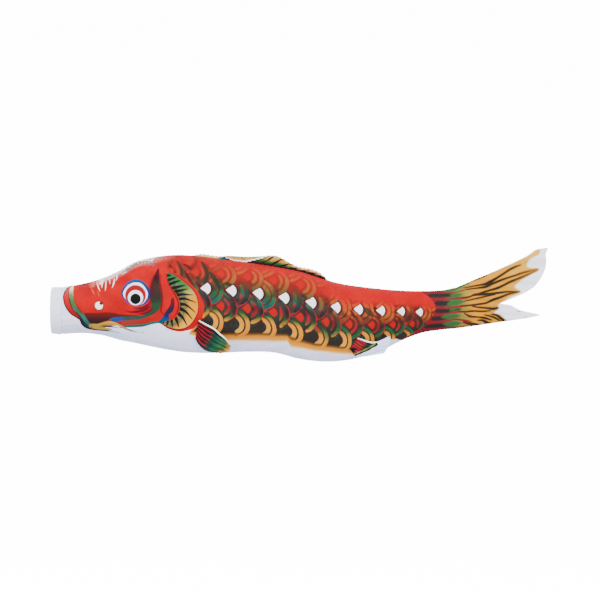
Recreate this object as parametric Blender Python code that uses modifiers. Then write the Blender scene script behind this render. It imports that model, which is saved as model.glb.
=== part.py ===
"""Carp streamer: an open tube of printed cloth, 1 m long, held open at the mouth by a sprung hoop.

Frame: metres, origin at the centre of the mouth, +X towards the tail, +Z towards the back,
-Y on the fish's own left side.  The side panels are cut at four places, where the streamer
bends as it swims, and each stretch between two bends hangs from an empty on its joint's axis.
"""
import math

import bpy
from mathutils import Vector

OBJECT_NAME = "carp_streamer"

# Cloth and gaps
CLOTH = 0.0006  # thickness of the panels
SEAM_HALF_GAP = 0.0005  # from the middle plane to a panel's edge, body
TAIL_SEAM_HALF_GAP = 0.0009  # the same, where the tail lies flat
STRETCH_GAP = 0.0005  # between a panel and the bend that follows it
FIN_THICKNESS = 0.0016
AROUND = 8  # faces from the back seam to the belly seam
STATION_PITCH = 0.024  # longest face along the body

# Outline of the tube: distance from the mouth, back, belly, half width
OUTLINE = (
    (0.0225, 0.0470, -0.0470, 0.0470),
    (0.0600, 0.0530, -0.0450, 0.0490),
    (0.1000, 0.0640, -0.0490, 0.0530),
    (0.1370, 0.0800, -0.0590, 0.0560),
    (0.1670, 0.0970, -0.0650, 0.0580),
    (0.2170, 0.1085, -0.0755, 0.0600),
    (0.2650, 0.1110, -0.0830, 0.0610),
    (0.3300, 0.1035, -0.0850, 0.0600),
    (0.3900, 0.0965, -0.0825, 0.0590),
    (0.4450, 0.0875, -0.0840, 0.0575),
    (0.4950, 0.0780, -0.0965, 0.0555),
    (0.5400, 0.0640, -0.1020, 0.0530),
    (0.5800, 0.0535, -0.1005, 0.0500),
    (0.6200, 0.0475, -0.0930, 0.0455),
    (0.6600, 0.0430, -0.0800, 0.0390),
    (0.7000, 0.0400, -0.0600, 0.0310),
    (0.7400, 0.0390, -0.0450, 0.0240),
    (0.7800, 0.0405, -0.0385, 0.0185),
    (0.8090, 0.0460, -0.0360, 0.0150),
)

# Where the tube bends: stretch ends before and after the joint, joint position and axis
BENDS = {
    "shoulder": (0.2550, 0.2750, Vector((0.2650, 0.0, 0.0140))),
    "waist": (0.5620, 0.5820, Vector((0.5720, 0.0, -0.0240))),
    "stalk": (0.7050, 0.7190, Vector((0.7120, 0.0, -0.0080))),
    "tail": (0.7910, 0.8090, Vector((0.8000, 0.0, 0.0035))),
}

# Tail: edges of one layer as (x, z), all starting at the tube or at the fork
TAIL_TOP = (
    (0.8090, 0.0460), (0.8370, 0.0585), (0.8670, 0.0710), (0.8970, 0.0840),
    (0.9270, 0.0980), (0.9510, 0.1100), (0.9690, 0.1220), (0.9940, 0.1260),
)
TAIL_UPPER_END = (
    (0.9940, 0.1260), (0.9890, 0.1120), (0.9900, 0.0970), (0.9860, 0.0790),
    (0.9690, 0.0510), (0.9510, 0.0380), (0.9330, 0.0290), (0.8970, 0.0140),
)
TAIL_LOWER_END = ((0.8970, 0.0140), (0.9190, 0.0110), (0.9390, 0.0020), (0.9800, -0.0060))
TAIL_BOTTOM = (
    (0.8090, -0.0360), (0.8470, -0.0310), (0.8970, -0.0235), (0.9300, -0.0185),
    (0.9550, -0.0145), (0.9800, -0.0090),
)
TAIL_HALF_WIDTH = ((0.8090, 0.0150), (0.8500, 0.0110), (0.9000, 0.0080), (1.0000, 0.0055))
TAIL_ROWS_UPPER = 5  # of the faces around, how many run into the upper lobe
TAIL_COLUMNS = 10

# Mouth: collar, hoop, sleeve and eyelets
MOUTH_RADIUS = 0.0470
COLLAR_LENGTH = 0.0220
COLLAR_CLOTH = 0.0010
HEM_END = 0.0200  # where the hem's turned-in flap ends
HEM_RADIUS = 0.00335  # outside of the roll round the hoop
FLAP_GAP = 0.0004
HOOP_WIRE_RADIUS = 0.00125
HOOP_HALF_GAP_DEG = 0.7  # between the wire's two ends, under the sleeve
SLEEVE_HALF_ANGLE_DEG = 11.25
SLEEVE_INNER_RADIUS = 0.00155
SLEEVE_WALL = 0.0005
RING_STEPS = 48
EYELET_X = 0.0150
EYELET_FLANGE_RADIUS = 0.0040
EYELET_BARREL_RADIUS = 0.0023
EYELET_BORE_RADIUS = 0.0016
EYELET_HOLE_RADIUS = 0.0027
EYELET_FLANGE = 0.0006
EYELET_OUTER_SEAT = 0.0473  # distance of the outer flange's underside from the mouth's axis
EYELET_INNER_SEAT = 0.0441
EYELET_STEPS = 20
EYELETS = {"eyelet_left": -60.0, "eyelet_right": 60.0, "eyelet_bottom": 180.0}

# Dorsal fin: height above the back, and a point of the axis that it flops about, which just
# clears the back and falls 178 mm in 984 towards the tail
DORSAL_HEIGHT = (
    (0.2850, 0.0010), (0.3050, 0.0060), (0.3400, 0.0130), (0.3900, 0.0200), (0.4400, 0.0270),
    (0.4650, 0.0230), (0.5000, 0.0160), (0.5300, 0.0100), (0.5530, 0.0020),
)
DORSAL_GAP = 0.0012
DORSAL_COLUMNS = 16
DORSAL_AXIS_POINT = Vector((0.4400, 0.0, 0.0895))

# Paired fins: root from top to bottom on the left side, lean away from the body, and the
# outline as (along the root, away from the root)
PECTORAL_ROOT = (Vector((0.2970, -0.0609, -0.0190)), Vector((0.2890, -0.0470, -0.0550)))
PECTORAL_LEAN_DEG = 12.0
PECTORAL_OUTLINE = (
    (0.000, 0.000), (0.015, 0.030), (0.028, 0.047), (0.039, 0.063), (0.054, 0.076),
    (0.066, 0.075), (0.072, 0.060), (0.068, 0.030), (0.055, 0.011), (0.039, 0.000),
)
PELVIC_ROOT = (Vector((0.6120, -0.0449, -0.0540)), Vector((0.5960, -0.0373, -0.0760)))
PELVIC_LEAN_DEG = 0.0
PELVIC_OUTLINE = (
    (0.000, 0.000), (0.010, 0.040), (-0.003, 0.060), (0.006, 0.068), (0.040, 0.075),
    (0.049, 0.037), (0.047, 0.022), (0.028, 0.000),
)

RED = (0.80, 0.05, 0.04)
DARK_RED = (0.45, 0.05, 0.05)
GOLD = (0.80, 0.50, 0.10)
OLIVE = (0.25, 0.28, 0.10)
WHITE = (0.92, 0.92, 0.95)
STEEL = (0.62, 0.62, 0.64)


# ---------------------------------------------------------------- helpers

def clear_scene():
    for obj in list(bpy.data.objects):
        bpy.data.objects.remove(obj, do_unlink=True)


def collection(name):
    group = bpy.data.collections.new(name)
    bpy.context.scene.collection.children.link(group)
    return group


def material(name, colour, roughness, metallic=0.0):
    mat = bpy.data.materials.new(name)
    mat.use_nodes = True
    shader = mat.node_tree.nodes["Principled BSDF"]
    shader.inputs["Base Color"].default_value = (*colour, 1.0)
    shader.inputs["Roughness"].default_value = roughness
    shader.inputs["Metallic"].default_value = metallic
    return mat


def smooth(table, x, column=1):
    """Value at x of a table sorted by its first column, on a smooth curve through the rows."""
    last = len(table) - 2
    i = max(k for k in range(last + 1) if k == 0 or table[k][0] <= x)
    rows = [table[max(i - 1, 0)], table[i], table[i + 1], table[min(i + 2, last + 1)]]
    xs = [row[0] for row in rows]
    ys = [row[column] for row in rows]
    span = xs[2] - xs[1]
    t = (x - xs[1]) / span
    start = (ys[2] - ys[0]) / (xs[2] - xs[0]) * span
    end = (ys[3] - ys[1]) / (xs[3] - xs[1]) * span
    return (
        (2 * t**3 - 3 * t**2 + 1) * ys[1]
        + (t**3 - 2 * t**2 + t) * start
        + (3 * t**2 - 2 * t**3) * ys[2]
        + (t**3 - t**2) * end
    )


def along(points, share):
    """Point at a share of the length of a chain of (x, z) points."""
    chain = [Vector(p) for p in points]
    lengths = [(b - a).length for a, b in zip(chain, chain[1:])]
    left = share * sum(lengths)
    for a, b, length in zip(chain, chain[1:], lengths):
        if left <= length:
            return a.lerp(b, left / length)
        left -= length
    return chain[-1]


def spread(start, end, pitch):
    """Evenly spaced values from start to end, no further apart than pitch."""
    count = max(1, math.ceil((end - start) / pitch - 1e-6))
    return [start + (end - start) * k / count for k in range(count + 1)]


def new_object(name, mesh, group, joint=None):
    """An object for a mesh in world coordinates, with its origin on its joint's empty."""
    obj = bpy.data.objects.new(name, mesh)
    group.objects.link(obj)
    if joint:
        for vertex in mesh.vertices:
            vertex.co -= Vector(joint["place"])
        obj.parent = joint
    return obj


def joint_empty(name, place, group, parent=None):
    empty = bpy.data.objects.new(name, None)
    empty.empty_display_size = 0.02
    empty["place"] = list(place)
    empty.location = place - (Vector(parent["place"]) if parent else Vector())
    empty.parent = parent
    group.objects.link(empty)
    return empty


def solidify(obj, thickness, offset):
    thicken = obj.modifiers.new("thickness", "SOLIDIFY")
    thicken.thickness = thickness
    thicken.offset = offset
    thicken.use_even_offset = True


def sheet(name, rows, look, group, joint=None):
    """A piece of cloth through a grid of points, thickened towards the inside of the tube."""
    mesh = bpy.data.meshes.new(name)
    wide = len(rows[0])
    faces = [
        (r * wide + c, r * wide + c + 1, (r + 1) * wide + c + 1, (r + 1) * wide + c)
        for r in range(len(rows) - 1)
        for c in range(wide - 1)
    ]
    if rows[0][wide // 2].y > 0:
        faces = [face[::-1] for face in faces]
    mesh.from_pydata([point for row in rows for point in row], [], faces)
    mesh.shade_smooth()
    mesh.materials.append(look)
    obj = new_object(name, mesh, group, joint)
    solidify(obj, CLOTH, -1.0)
    return obj


def plate(name, outline, look, group, joint):
    """A flat fin of even thickness on a closed outline."""
    mesh = bpy.data.meshes.new(name)
    mesh.from_pydata(outline, [], [tuple(range(len(outline)))])
    mesh.materials.append(look)
    obj = new_object(name, mesh, group, joint)
    solidify(obj, FIN_THICKNESS, 0.0)
    return obj


# ---------------------------------------------------------------- tube

def half_ring(x, side):
    """Points from the back seam to the belly seam on one side of the tube."""
    top = smooth(OUTLINE, x, 1)
    bottom = smooth(OUTLINE, x, 2)
    half_width = smooth(OUTLINE, x, 3)
    middle = (top + bottom) / 2
    points = []
    for k in range(AROUND + 1):
        angle = math.pi * k / AROUND
        y = SEAM_HALF_GAP + half_width * math.sin(angle)
        points.append(Vector((x, side * y, middle + (top - middle) * math.cos(angle))))
    return points


def panel(name, start, end, side, look, group, joint=None):
    rows = [half_ring(x, side) for x in spread(start, end, STATION_PITCH)]
    return sheet(name, rows, look, group, joint)


def coons(first, last, start, end, u, s):
    """Point of a patch between four edges: first and last run along u, start and end along s."""
    corners = (
        (1 - u) * (1 - s) * along(first, 0)
        + (1 - u) * s * along(last, 0)
        + u * (1 - s) * along(first, 1)
        + u * s * along(last, 1)
    )
    across = (1 - s) * along(first, u) + s * along(last, u)
    lengthwise = (1 - u) * along(start, s) + u * along(end, s)
    return across + lengthwise - corners


def tail_layer(name, side, look, group, joint):
    """One layer of the forked tail, open along its end."""
    root = [Vector((p.x, p.z)) for p in half_ring(TAIL_TOP[0][0], side)]
    fork = (root[TAIL_ROWS_UPPER], Vector(TAIL_UPPER_END[-1]))
    rows = []
    for column in range(TAIL_COLUMNS + 1):
        u = column / TAIL_COLUMNS
        row = []
        for k in range(AROUND + 1):
            if k <= TAIL_ROWS_UPPER:
                s = k / TAIL_ROWS_UPPER
                flat = coons(TAIL_TOP, fork, root[: TAIL_ROWS_UPPER + 1], TAIL_UPPER_END, u, s)
            else:
                s = (k - TAIL_ROWS_UPPER) / (AROUND - TAIL_ROWS_UPPER)
                flat = coons(fork, TAIL_BOTTOM, root[TAIL_ROWS_UPPER:], TAIL_LOWER_END, u, s)
            swell = smooth(TAIL_HALF_WIDTH, flat.x) * math.sin(math.pi * k / AROUND)
            row.append(Vector((flat.x, side * (TAIL_SEAM_HALF_GAP + swell), flat.y)))
        rows.append(row)
    return sheet(name, rows, look, group, joint)


# ---------------------------------------------------------------- mouth

def ring_point(radius, angle_deg, x):
    """Point round the mouth, with 0 degrees at the back and 90 on the right side."""
    angle = math.radians(angle_deg)
    return Vector((x, radius * math.sin(angle), radius * math.cos(angle)))


def turned(name, profile, axis, steps, look, group):
    """A closed profile of points turned about an axis."""
    mesh = bpy.data.meshes.new(name)
    count = len(profile)
    edges = [(k, (k + 1) % count) for k in range(count)]
    mesh.from_pydata(profile, edges, [])
    mesh.materials.append(look)
    obj = new_object(name, mesh, group)
    turn = obj.modifiers.new("turn", "SCREW")
    turn.axis = axis
    turn.steps = steps
    turn.render_steps = steps
    turn.use_merge_vertices = True
    turn.merge_threshold = 0.00001
    return obj


def collar_profile():
    """Cloth folded back over the hoop, its flap lying under the outer layer."""
    hoop_radius = MOUTH_RADIUS - HEM_RADIUS
    roll = [math.pi / 2 + math.pi * k / 6 for k in range(7)]
    outer = [
        (HEM_RADIUS + HEM_RADIUS * math.cos(a), hoop_radius + HEM_RADIUS * math.sin(a))
        for a in roll
    ]
    inner_radius = HEM_RADIUS - COLLAR_CLOTH
    inner = [
        (HEM_RADIUS + inner_radius * math.cos(a), hoop_radius + inner_radius * math.sin(a))
        for a in reversed(roll)
    ]
    flap_top = MOUTH_RADIUS - COLLAR_CLOTH - FLAP_GAP
    flap_bottom = flap_top - COLLAR_CLOTH
    flap_start = 3 * HEM_RADIUS
    return [
        (COLLAR_LENGTH, MOUTH_RADIUS),
        *outer,
        (flap_start, flap_bottom),
        (HEM_END, flap_bottom),
        (HEM_END, flap_top),
        (flap_start, flap_top),
        *inner,
        (COLLAR_LENGTH, MOUTH_RADIUS - COLLAR_CLOTH),
    ]


def eyelet_cutter(name, angle_deg, group):
    length = 0.02
    bpy.ops.mesh.primitive_cylinder_add(
        vertices=EYELET_STEPS,
        radius=EYELET_HOLE_RADIUS,
        depth=length,
        location=ring_point(MOUTH_RADIUS, angle_deg, EYELET_X),
        rotation=(-math.radians(angle_deg), 0.0, 0.0),
    )
    cutter = bpy.context.object
    cutter.name = name
    for owner in list(cutter.users_collection):
        owner.objects.unlink(cutter)
    group.objects.link(cutter)
    cutter.hide_render = True
    cutter.display_type = "WIRE"
    return cutter


def collar(look, group, cutters):
    profile = [(x, 0.0, radius) for x, radius in collar_profile()]
    obj = turned("mouth_collar", profile, "X", RING_STEPS, look, group)
    for name, angle_deg in EYELETS.items():
        cut = obj.modifiers.new(f"{name}_hole", "BOOLEAN")
        cut.operation = "DIFFERENCE"
        cut.object = eyelet_cutter(f"{name}_cutter", angle_deg, cutters)
    return obj


def ring_wire(name, angles_deg, wire_radius, group):
    """A round wire along part of the hoop's circle."""
    data = bpy.data.curves.new(name, "CURVE")
    data.dimensions = "3D"
    data.bevel_depth = wire_radius
    data.bevel_resolution = 2
    line = data.splines.new("POLY")
    line.points.add(len(angles_deg) - 1)
    for point, angle_deg in zip(line.points, angles_deg):
        place = ring_point(MOUTH_RADIUS - HEM_RADIUS, angle_deg, HEM_RADIUS)
        point.co = (*place, 1.0)
    obj = bpy.data.objects.new(name, data)
    group.objects.link(obj)
    return obj


def hoop(look, group):
    """Sprung wire hoop, its two ends meeting inside the sleeve at the back."""
    pitch = 360.0 / RING_STEPS
    middle = [pitch * k for k in range(1, RING_STEPS)]
    angles = [HOOP_HALF_GAP_DEG, *middle, 360.0 - HOOP_HALF_GAP_DEG]
    obj = ring_wire("mouth_hoop", angles, HOOP_WIRE_RADIUS, group)
    obj.data.use_fill_caps = True
    obj.data.materials.append(look)
    return obj


def hoop_sleeve(look, group):
    """Tube that joins the hoop's ends."""
    angles = spread(-SLEEVE_HALF_ANGLE_DEG, SLEEVE_HALF_ANGLE_DEG, 3.75)
    wire = ring_wire("sleeve_guide", angles, SLEEVE_INNER_RADIUS + SLEEVE_WALL, group)
    depsgraph = bpy.context.evaluated_depsgraph_get()
    mesh = bpy.data.meshes.new_from_object(wire.evaluated_get(depsgraph))
    mesh.name = "hoop_sleeve"
    mesh.materials.clear()
    mesh.materials.append(look)
    bpy.data.objects.remove(wire, do_unlink=True)
    obj = new_object("hoop_sleeve", mesh, group)
    solidify(obj, SLEEVE_WALL, -1.0)
    return obj


def eyelet(name, angle_deg, look, group):
    """Two flanges and a barrel, set through both layers of the hem."""
    outer_face = EYELET_OUTER_SEAT + EYELET_FLANGE
    inner_face = EYELET_INNER_SEAT - EYELET_FLANGE
    profile = [
        (EYELET_BORE_RADIUS, outer_face),
        (EYELET_FLANGE_RADIUS, outer_face),
        (EYELET_FLANGE_RADIUS, EYELET_OUTER_SEAT),
        (EYELET_BARREL_RADIUS, EYELET_OUTER_SEAT),
        (EYELET_BARREL_RADIUS, EYELET_INNER_SEAT),
        (EYELET_FLANGE_RADIUS, EYELET_INNER_SEAT),
        (EYELET_FLANGE_RADIUS, inner_face),
        (EYELET_BORE_RADIUS, inner_face),
    ]
    points = [(radius, 0.0, height) for radius, height in profile]
    obj = turned(name, points, "Z", EYELET_STEPS, look, group)
    obj.location = (EYELET_X, 0.0, 0.0)
    obj.rotation_euler = (-math.radians(angle_deg), 0.0, 0.0)
    return obj


# ---------------------------------------------------------------- fins

def dorsal_fin(look, group, joint):
    start = DORSAL_HEIGHT[0][0]
    end = DORSAL_HEIGHT[-1][0]
    xs = [start + (end - start) * k / DORSAL_COLUMNS for k in range(DORSAL_COLUMNS + 1)]
    back = [smooth(OUTLINE, x, 1) + DORSAL_GAP for x in xs]
    root = [Vector((x, 0.0, z)) for x, z in zip(xs, back)]
    tip = [Vector((x, 0.0, z + smooth(DORSAL_HEIGHT, x))) for x, z in zip(xs, back)]
    return plate("dorsal_fin", root + tip[::-1], look, group, joint)


def mirrored(vector, side):
    return Vector((vector.x, -side * vector.y, vector.z))


def paired_fin(name, root, lean_deg, outline, side, look, group, joint):
    """A fin that trails from its root on one side of the body; side is -1 left, 1 right."""
    top = mirrored(root[0], side)
    down = (mirrored(root[1], side) - top).normalized()
    lean = math.radians(lean_deg)
    back = Vector((math.cos(lean), side * math.sin(lean), 0.0))
    points = [top + down * a + back * b for a, b in outline]
    return plate(name, points, look, group, joint)


# ---------------------------------------------------------------- the whole object

def build():
    clear_scene()
    parts = collection(OBJECT_NAME)
    cutters = collection("cutters")

    shoulder = joint_empty("shoulder_axis", BENDS["shoulder"][2], parts)
    waist = joint_empty("waist_axis", BENDS["waist"][2], parts, shoulder)
    stalk = joint_empty("stalk_axis", BENDS["stalk"][2], parts, waist)
    tail = joint_empty("tail_axis", BENDS["tail"][2], parts, stalk)
    back_fin = joint_empty("dorsal_axis", DORSAL_AXIS_POINT, parts, shoulder)

    collar(material("collar_cloth", WHITE, 0.8), parts, cutters)
    hoop(material("hoop_steel", STEEL, 0.35, 1.0), parts)
    hoop_sleeve(material("sleeve_steel", STEEL, 0.45, 1.0), parts)
    for name, angle_deg in EYELETS.items():
        eyelet(name, angle_deg, material(f"{name}_enamel", WHITE, 0.3), parts)

    stretches = (
        ("head", COLLAR_LENGTH + STRETCH_GAP, BENDS["shoulder"][0], None, RED),
        ("front_body", BENDS["shoulder"][1], BENDS["waist"][0], shoulder, RED),
        ("rear_body", BENDS["waist"][1], BENDS["stalk"][0], waist, DARK_RED),
        ("tail_stalk", BENDS["stalk"][1], BENDS["tail"][0], stalk, OLIVE),
    )
    carriers = {"shoulder": None, "waist": shoulder, "stalk": waist, "tail": stalk}
    for side, word in ((-1, "left"), (1, "right")):
        for name, start, end, joint, colour in stretches:
            cloth = material(f"{name}_cloth_{word}", colour, 0.7)
            panel(f"{name}_panel_{word}", start, end, side, cloth, parts, joint)
        for name, (before, after, _) in BENDS.items():
            cloth = material(f"{name}_bend_cloth_{word}", DARK_RED, 0.7)
            start, end = before + STRETCH_GAP, after - STRETCH_GAP
            panel(f"{name}_bend_{word}", start, end, side, cloth, parts, carriers[name])
        tail_cloth = material(f"tail_cloth_{word}", GOLD, 0.7)
        tail_layer(f"tail_panel_{word}", side, tail_cloth, parts, tail)

        for name, root, lean_deg, outline, carrier in (
            ("pectoral_fin", PECTORAL_ROOT, PECTORAL_LEAN_DEG, PECTORAL_OUTLINE, shoulder),
            ("pelvic_fin", PELVIC_ROOT, PELVIC_LEAN_DEG, PELVIC_OUTLINE, waist),
        ):
            place = mirrored(root[0], side)
            joint = joint_empty(f"{name}_axis_{word}", place, parts, carrier)
            cloth = material(f"{name}_cloth_{word}", OLIVE, 0.7)
            paired_fin(f"{name}_{word}", root, lean_deg, outline, side, cloth, parts, joint)

    dorsal_fin(material("dorsal_cloth", GOLD, 0.7), parts, back_fin)


build()
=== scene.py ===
"""Carp streamer in printed cloth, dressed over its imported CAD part.

Frame: metres, origin at the centre of the mouth, +X towards the tail, +Z towards the back,
-Y on the fish's own left side.  The print is drawn in millimetres, as seen from the side, and
is the same on both sides.
"""

import math

import bpy
import numpy as np
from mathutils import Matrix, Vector


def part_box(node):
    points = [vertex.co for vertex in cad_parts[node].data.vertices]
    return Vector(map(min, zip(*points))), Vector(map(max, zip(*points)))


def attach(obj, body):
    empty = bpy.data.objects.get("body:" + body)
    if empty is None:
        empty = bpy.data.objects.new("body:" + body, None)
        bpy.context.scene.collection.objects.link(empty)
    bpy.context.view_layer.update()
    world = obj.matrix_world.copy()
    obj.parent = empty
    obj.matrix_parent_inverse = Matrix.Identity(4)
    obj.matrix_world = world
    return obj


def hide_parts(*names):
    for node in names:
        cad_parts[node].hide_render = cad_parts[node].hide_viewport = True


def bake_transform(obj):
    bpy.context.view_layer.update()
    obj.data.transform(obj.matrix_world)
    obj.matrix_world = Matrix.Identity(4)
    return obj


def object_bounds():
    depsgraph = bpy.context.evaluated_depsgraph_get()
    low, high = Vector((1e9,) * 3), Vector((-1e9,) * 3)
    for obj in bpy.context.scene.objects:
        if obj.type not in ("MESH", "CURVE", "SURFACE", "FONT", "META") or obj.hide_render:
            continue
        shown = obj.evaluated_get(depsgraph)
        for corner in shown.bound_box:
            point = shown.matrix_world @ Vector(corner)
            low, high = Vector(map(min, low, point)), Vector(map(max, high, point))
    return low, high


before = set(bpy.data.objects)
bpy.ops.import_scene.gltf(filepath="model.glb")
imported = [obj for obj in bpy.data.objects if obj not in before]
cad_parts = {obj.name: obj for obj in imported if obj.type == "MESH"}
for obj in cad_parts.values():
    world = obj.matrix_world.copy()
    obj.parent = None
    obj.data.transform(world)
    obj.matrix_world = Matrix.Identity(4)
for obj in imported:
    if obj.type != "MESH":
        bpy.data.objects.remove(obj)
cad_low, cad_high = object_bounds()

ROWS = 144  # faces from the back seam to the belly seam
COARSE = 1.0

# ---------------------------------------------------------------- outline of the CAD part

OUTLINE = (  # distance from the mouth, back, belly, half width
    (0.0225, 0.047, -0.047, 0.047), (0.06, 0.053, -0.045, 0.049), (0.1, 0.064, -0.049, 0.053),
    (0.137, 0.08, -0.059, 0.056), (0.167, 0.097, -0.065, 0.058), (0.217, 0.1085, -0.0755, 0.06),
    (0.265, 0.111, -0.083, 0.061), (0.33, 0.1035, -0.085, 0.06), (0.39, 0.0965, -0.0825, 0.059),
    (0.445, 0.0875, -0.084, 0.0575), (0.495, 0.078, -0.0965, 0.0555), (0.54, 0.064, -0.102, 0.053),
    (0.58, 0.0535, -0.1005, 0.05), (0.62, 0.0475, -0.093, 0.0455), (0.66, 0.043, -0.08, 0.039),
    (0.7, 0.04, -0.06, 0.031), (0.74, 0.039, -0.045, 0.024), (0.78, 0.0405, -0.0385, 0.0185),
    (0.809, 0.046, -0.036, 0.015),
)
TAIL_START = 0.809
TAIL_TOP = (
    (0.809, 0.046), (0.837, 0.0585), (0.867, 0.071), (0.897, 0.084), (0.927, 0.098), (0.951, 0.11),
    (0.969, 0.122), (0.994, 0.126),
)
TAIL_UPPER_END = (
    (0.994, 0.126), (0.989, 0.112), (0.99, 0.097), (0.986, 0.079), (0.969, 0.051), (0.951, 0.038),
    (0.933, 0.029), (0.897, 0.014),
)
TAIL_LOWER_END = ((0.897, 0.014), (0.919, 0.011), (0.939, 0.002), (0.98, -0.006))
TAIL_BOTTOM = (
    (0.809, -0.036), (0.847, -0.031), (0.897, -0.0235), (0.93, -0.0185), (0.955, -0.0145), (0.98, -0.009),
)
TAIL_HALF_WIDTH = ((0.809, 0.015), (0.85, 0.011), (0.9, 0.008), (1.0, 0.0055))
FORK_SHARE = 5 / 8  # of the rows that run into the upper lobe

TUCK = 0.0206  # where the cloth starts, under the collar
COLLAR_REAR = 0.0225
FRONT_END, MIDDLE_END, STALK_END = 0.43, 0.645, 0.76  # where one skin is sewn to the next
# Skins: where each ends (the last one at the tail's tips), the bodies on either side of it and a stretch
# between them, which this script doesn't use, and the CAD nodes that it stands for on one side
SKINS = (
    ("front_skin", FRONT_END, "head", "front_body", 0.2, 0.288,
     ("head_panel", "shoulder_bend", "front_body_panel")),
    ("middle_skin", MIDDLE_END, "front_body", "rear_body", 0.555, 0.594,
     ("waist_bend", "rear_body_panel")),
    ("stalk_skin", STALK_END, "rear_body", "tail_stalk", 0.665, 0.755,
     ("stalk_bend", "tail_stalk_panel")),
    ("tail_skin", None, "tail_stalk", "tail", 0.765, 0.85, ("tail_bend", "tail_panel")),
)
CLOTH = 0.0005  # thickness, with the body's weave and coating
FIN_CLOTH = 0.0006  # two layers pressed together
HEM_CLOTH = 0.0008
HEM_RADIUS, LINING_RADIUS = 0.0465, 0.0451  # the hem's outer and inner layers
EYELET_HOLE = 0.0029  # radius of the hole that the cloth leaves for an eyelet
THREAD = 0.00042  # thickness of the stitches' thread
SEAM_STITCH, SEAM_PITCH, SEAM_FROM = 0.0025, 0.0042, 0.0262
COLLAR_STITCH, COLLAR_STITCHES, COLLAR_SEAM = 0.0023, 92, 0.0204
EYELETS = ("eyelet_left", "eyelet_right", "eyelet_bottom")


def curve(table, x, column=1):
    """A smooth curve through one column of a table, against its first column."""
    rows = np.array(table, float)
    xs, ys = rows[:, 0], rows[:, column]
    slopes = np.gradient(ys, xs)
    slopes[1:-1] = (ys[2:] - ys[:-2]) / (xs[2:] - xs[:-2])
    x = np.clip(np.asarray(x, float), xs[0], xs[-1])
    i = np.clip(np.searchsorted(xs, x, side="right") - 1, 0, len(xs) - 2)
    span = xs[i + 1] - xs[i]
    t = (x - xs[i]) / span
    return (
        (2 * t**3 - 3 * t**2 + 1) * ys[i]
        + (t**3 - 2 * t**2 + t) * slopes[i] * span
        + (3 * t**2 - 2 * t**3) * ys[i + 1]
        + (t**3 - t**2) * slopes[i + 1] * span
    )


def ease(low, high, x):
    """0 below low, 1 above high, and smooth between them."""
    t = np.clip((np.asarray(x, float) - low) / (high - low), 0, 1)
    return t * t * (3 - 2 * t)


def rounded(points, closed, steps=6):
    """A chain of points, smoothed through every one of them."""
    p = np.array(points, float)
    if closed:
        p = np.vstack([p[-1], p, p[0], p[1]])
    else:
        p = np.vstack([2 * p[0] - p[1], p, 2 * p[-1] - p[-2]])
    t = np.linspace(0, 1, steps, endpoint=False)[:, None]
    parts = [
        0.5 * (2 * b + (c - a) * t + (2 * a - 5 * b + 4 * c - d) * t**2
               + (3 * b - a - 3 * c + d) * t**3)
        for a, b, c, d in zip(p[:-3], p[1:-2], p[2:-1], p[3:])
    ]
    chain = np.vstack(parts)
    return chain if closed else np.vstack([chain, p[-2]])


def chain_at(points, share):
    """Points at shares of the length of a smoothed chain."""
    chain = rounded(points, False)
    length = np.concatenate([[0], np.cumsum(np.linalg.norm(np.diff(chain, axis=0), axis=1))])
    want = np.asarray(share) * length[-1]
    return np.stack([np.interp(want, length, chain[:, k]) for k in range(2)], -1)


# ---------------------------------------------------------------- the tube's surface

def stations():
    """Distances from the mouth of the tube's rings, finest on the head."""
    stretches = (  # start, end and distance between rings
        (TUCK, COLLAR_REAR, 0.0008), (COLLAR_REAR, 0.3, 0.0011), (0.3, FRONT_END, 0.0016),
        (FRONT_END, MIDDLE_END, 0.0018), (MIDDLE_END, STALK_END, 0.0016),
        (STALK_END, TAIL_START, 0.0016),
    )
    rings = [
        np.linspace(a, b, max(2, round((b - a) / (p * COARSE))), endpoint=False)
        for a, b, p in stretches
    ]
    return np.concatenate([*rings, [TAIL_START]])


def tube():
    """Points of the left side as x, z, distance from the middle plane, and share of the way
    from the back seam to the belly seam; the first index runs along the body."""
    k = np.linspace(0, 1, ROWS + 1)
    angle = np.pi * k
    x = stations()[:, None] + 0 * k
    top, bottom, half = (curve(OUTLINE, x, c) for c in (1, 2, 3))
    tuck = 0.0014 * (1 - ease(TUCK + 0.0008, 0.025, x))
    middle = (top + bottom) / 2
    z = middle + (top - middle - tuck) * np.cos(angle)
    y = (half - tuck) * np.sin(angle)

    fork = round(ROWS * FORK_SHARE)
    u = np.linspace(0, 1, round(112 / COARSE) + 1)[1:, None]
    fork_line = (np.array([TAIL_START, z[-1, fork]]), np.array(TAIL_UPPER_END[-1]))
    fork_line = fork_line[0] + (fork_line[1] - fork_line[0]) * u
    root = np.stack([x[-1], z[-1]], -1)
    upper = coons(chain_at(TAIL_TOP, u[:, 0]), fork_line, root[: fork + 1],
                  chain_at(TAIL_UPPER_END, np.linspace(0, 1, fork + 1)), u)
    lower = coons(fork_line, chain_at(TAIL_BOTTOM, u[:, 0]), root[fork:],
                  chain_at(TAIL_LOWER_END, np.linspace(0, 1, ROWS - fork + 1)), u)
    flat = np.concatenate([upper, lower[:, 1:]], 1)
    swell = curve(TAIL_HALF_WIDTH, flat[..., 0]) * np.sin(angle)
    return (
        np.vstack([x, flat[..., 0]]), np.vstack([z, flat[..., 1]]), np.vstack([y, swell]),
        np.vstack([0 * x, 0 * swell]) + k,
    )


def coons(first, last, start, end, u):
    """Patch between four edges: first and last run along u, start and end across it."""
    s = np.linspace(0, 1, len(start))[None, :, None]
    u = u[:, :, None]
    first, last = first[:, None], last[:, None]
    start, end = start[None], end[None]
    corners = (
        (1 - u) * (1 - s) * start[:, :1] + (1 - u) * s * start[:, -1:]
        + u * (1 - s) * end[:, :1] + u * s * end[:, -1:]
    )
    return (1 - s) * first + s * last + (1 - u) * start + u * end - corners


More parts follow.
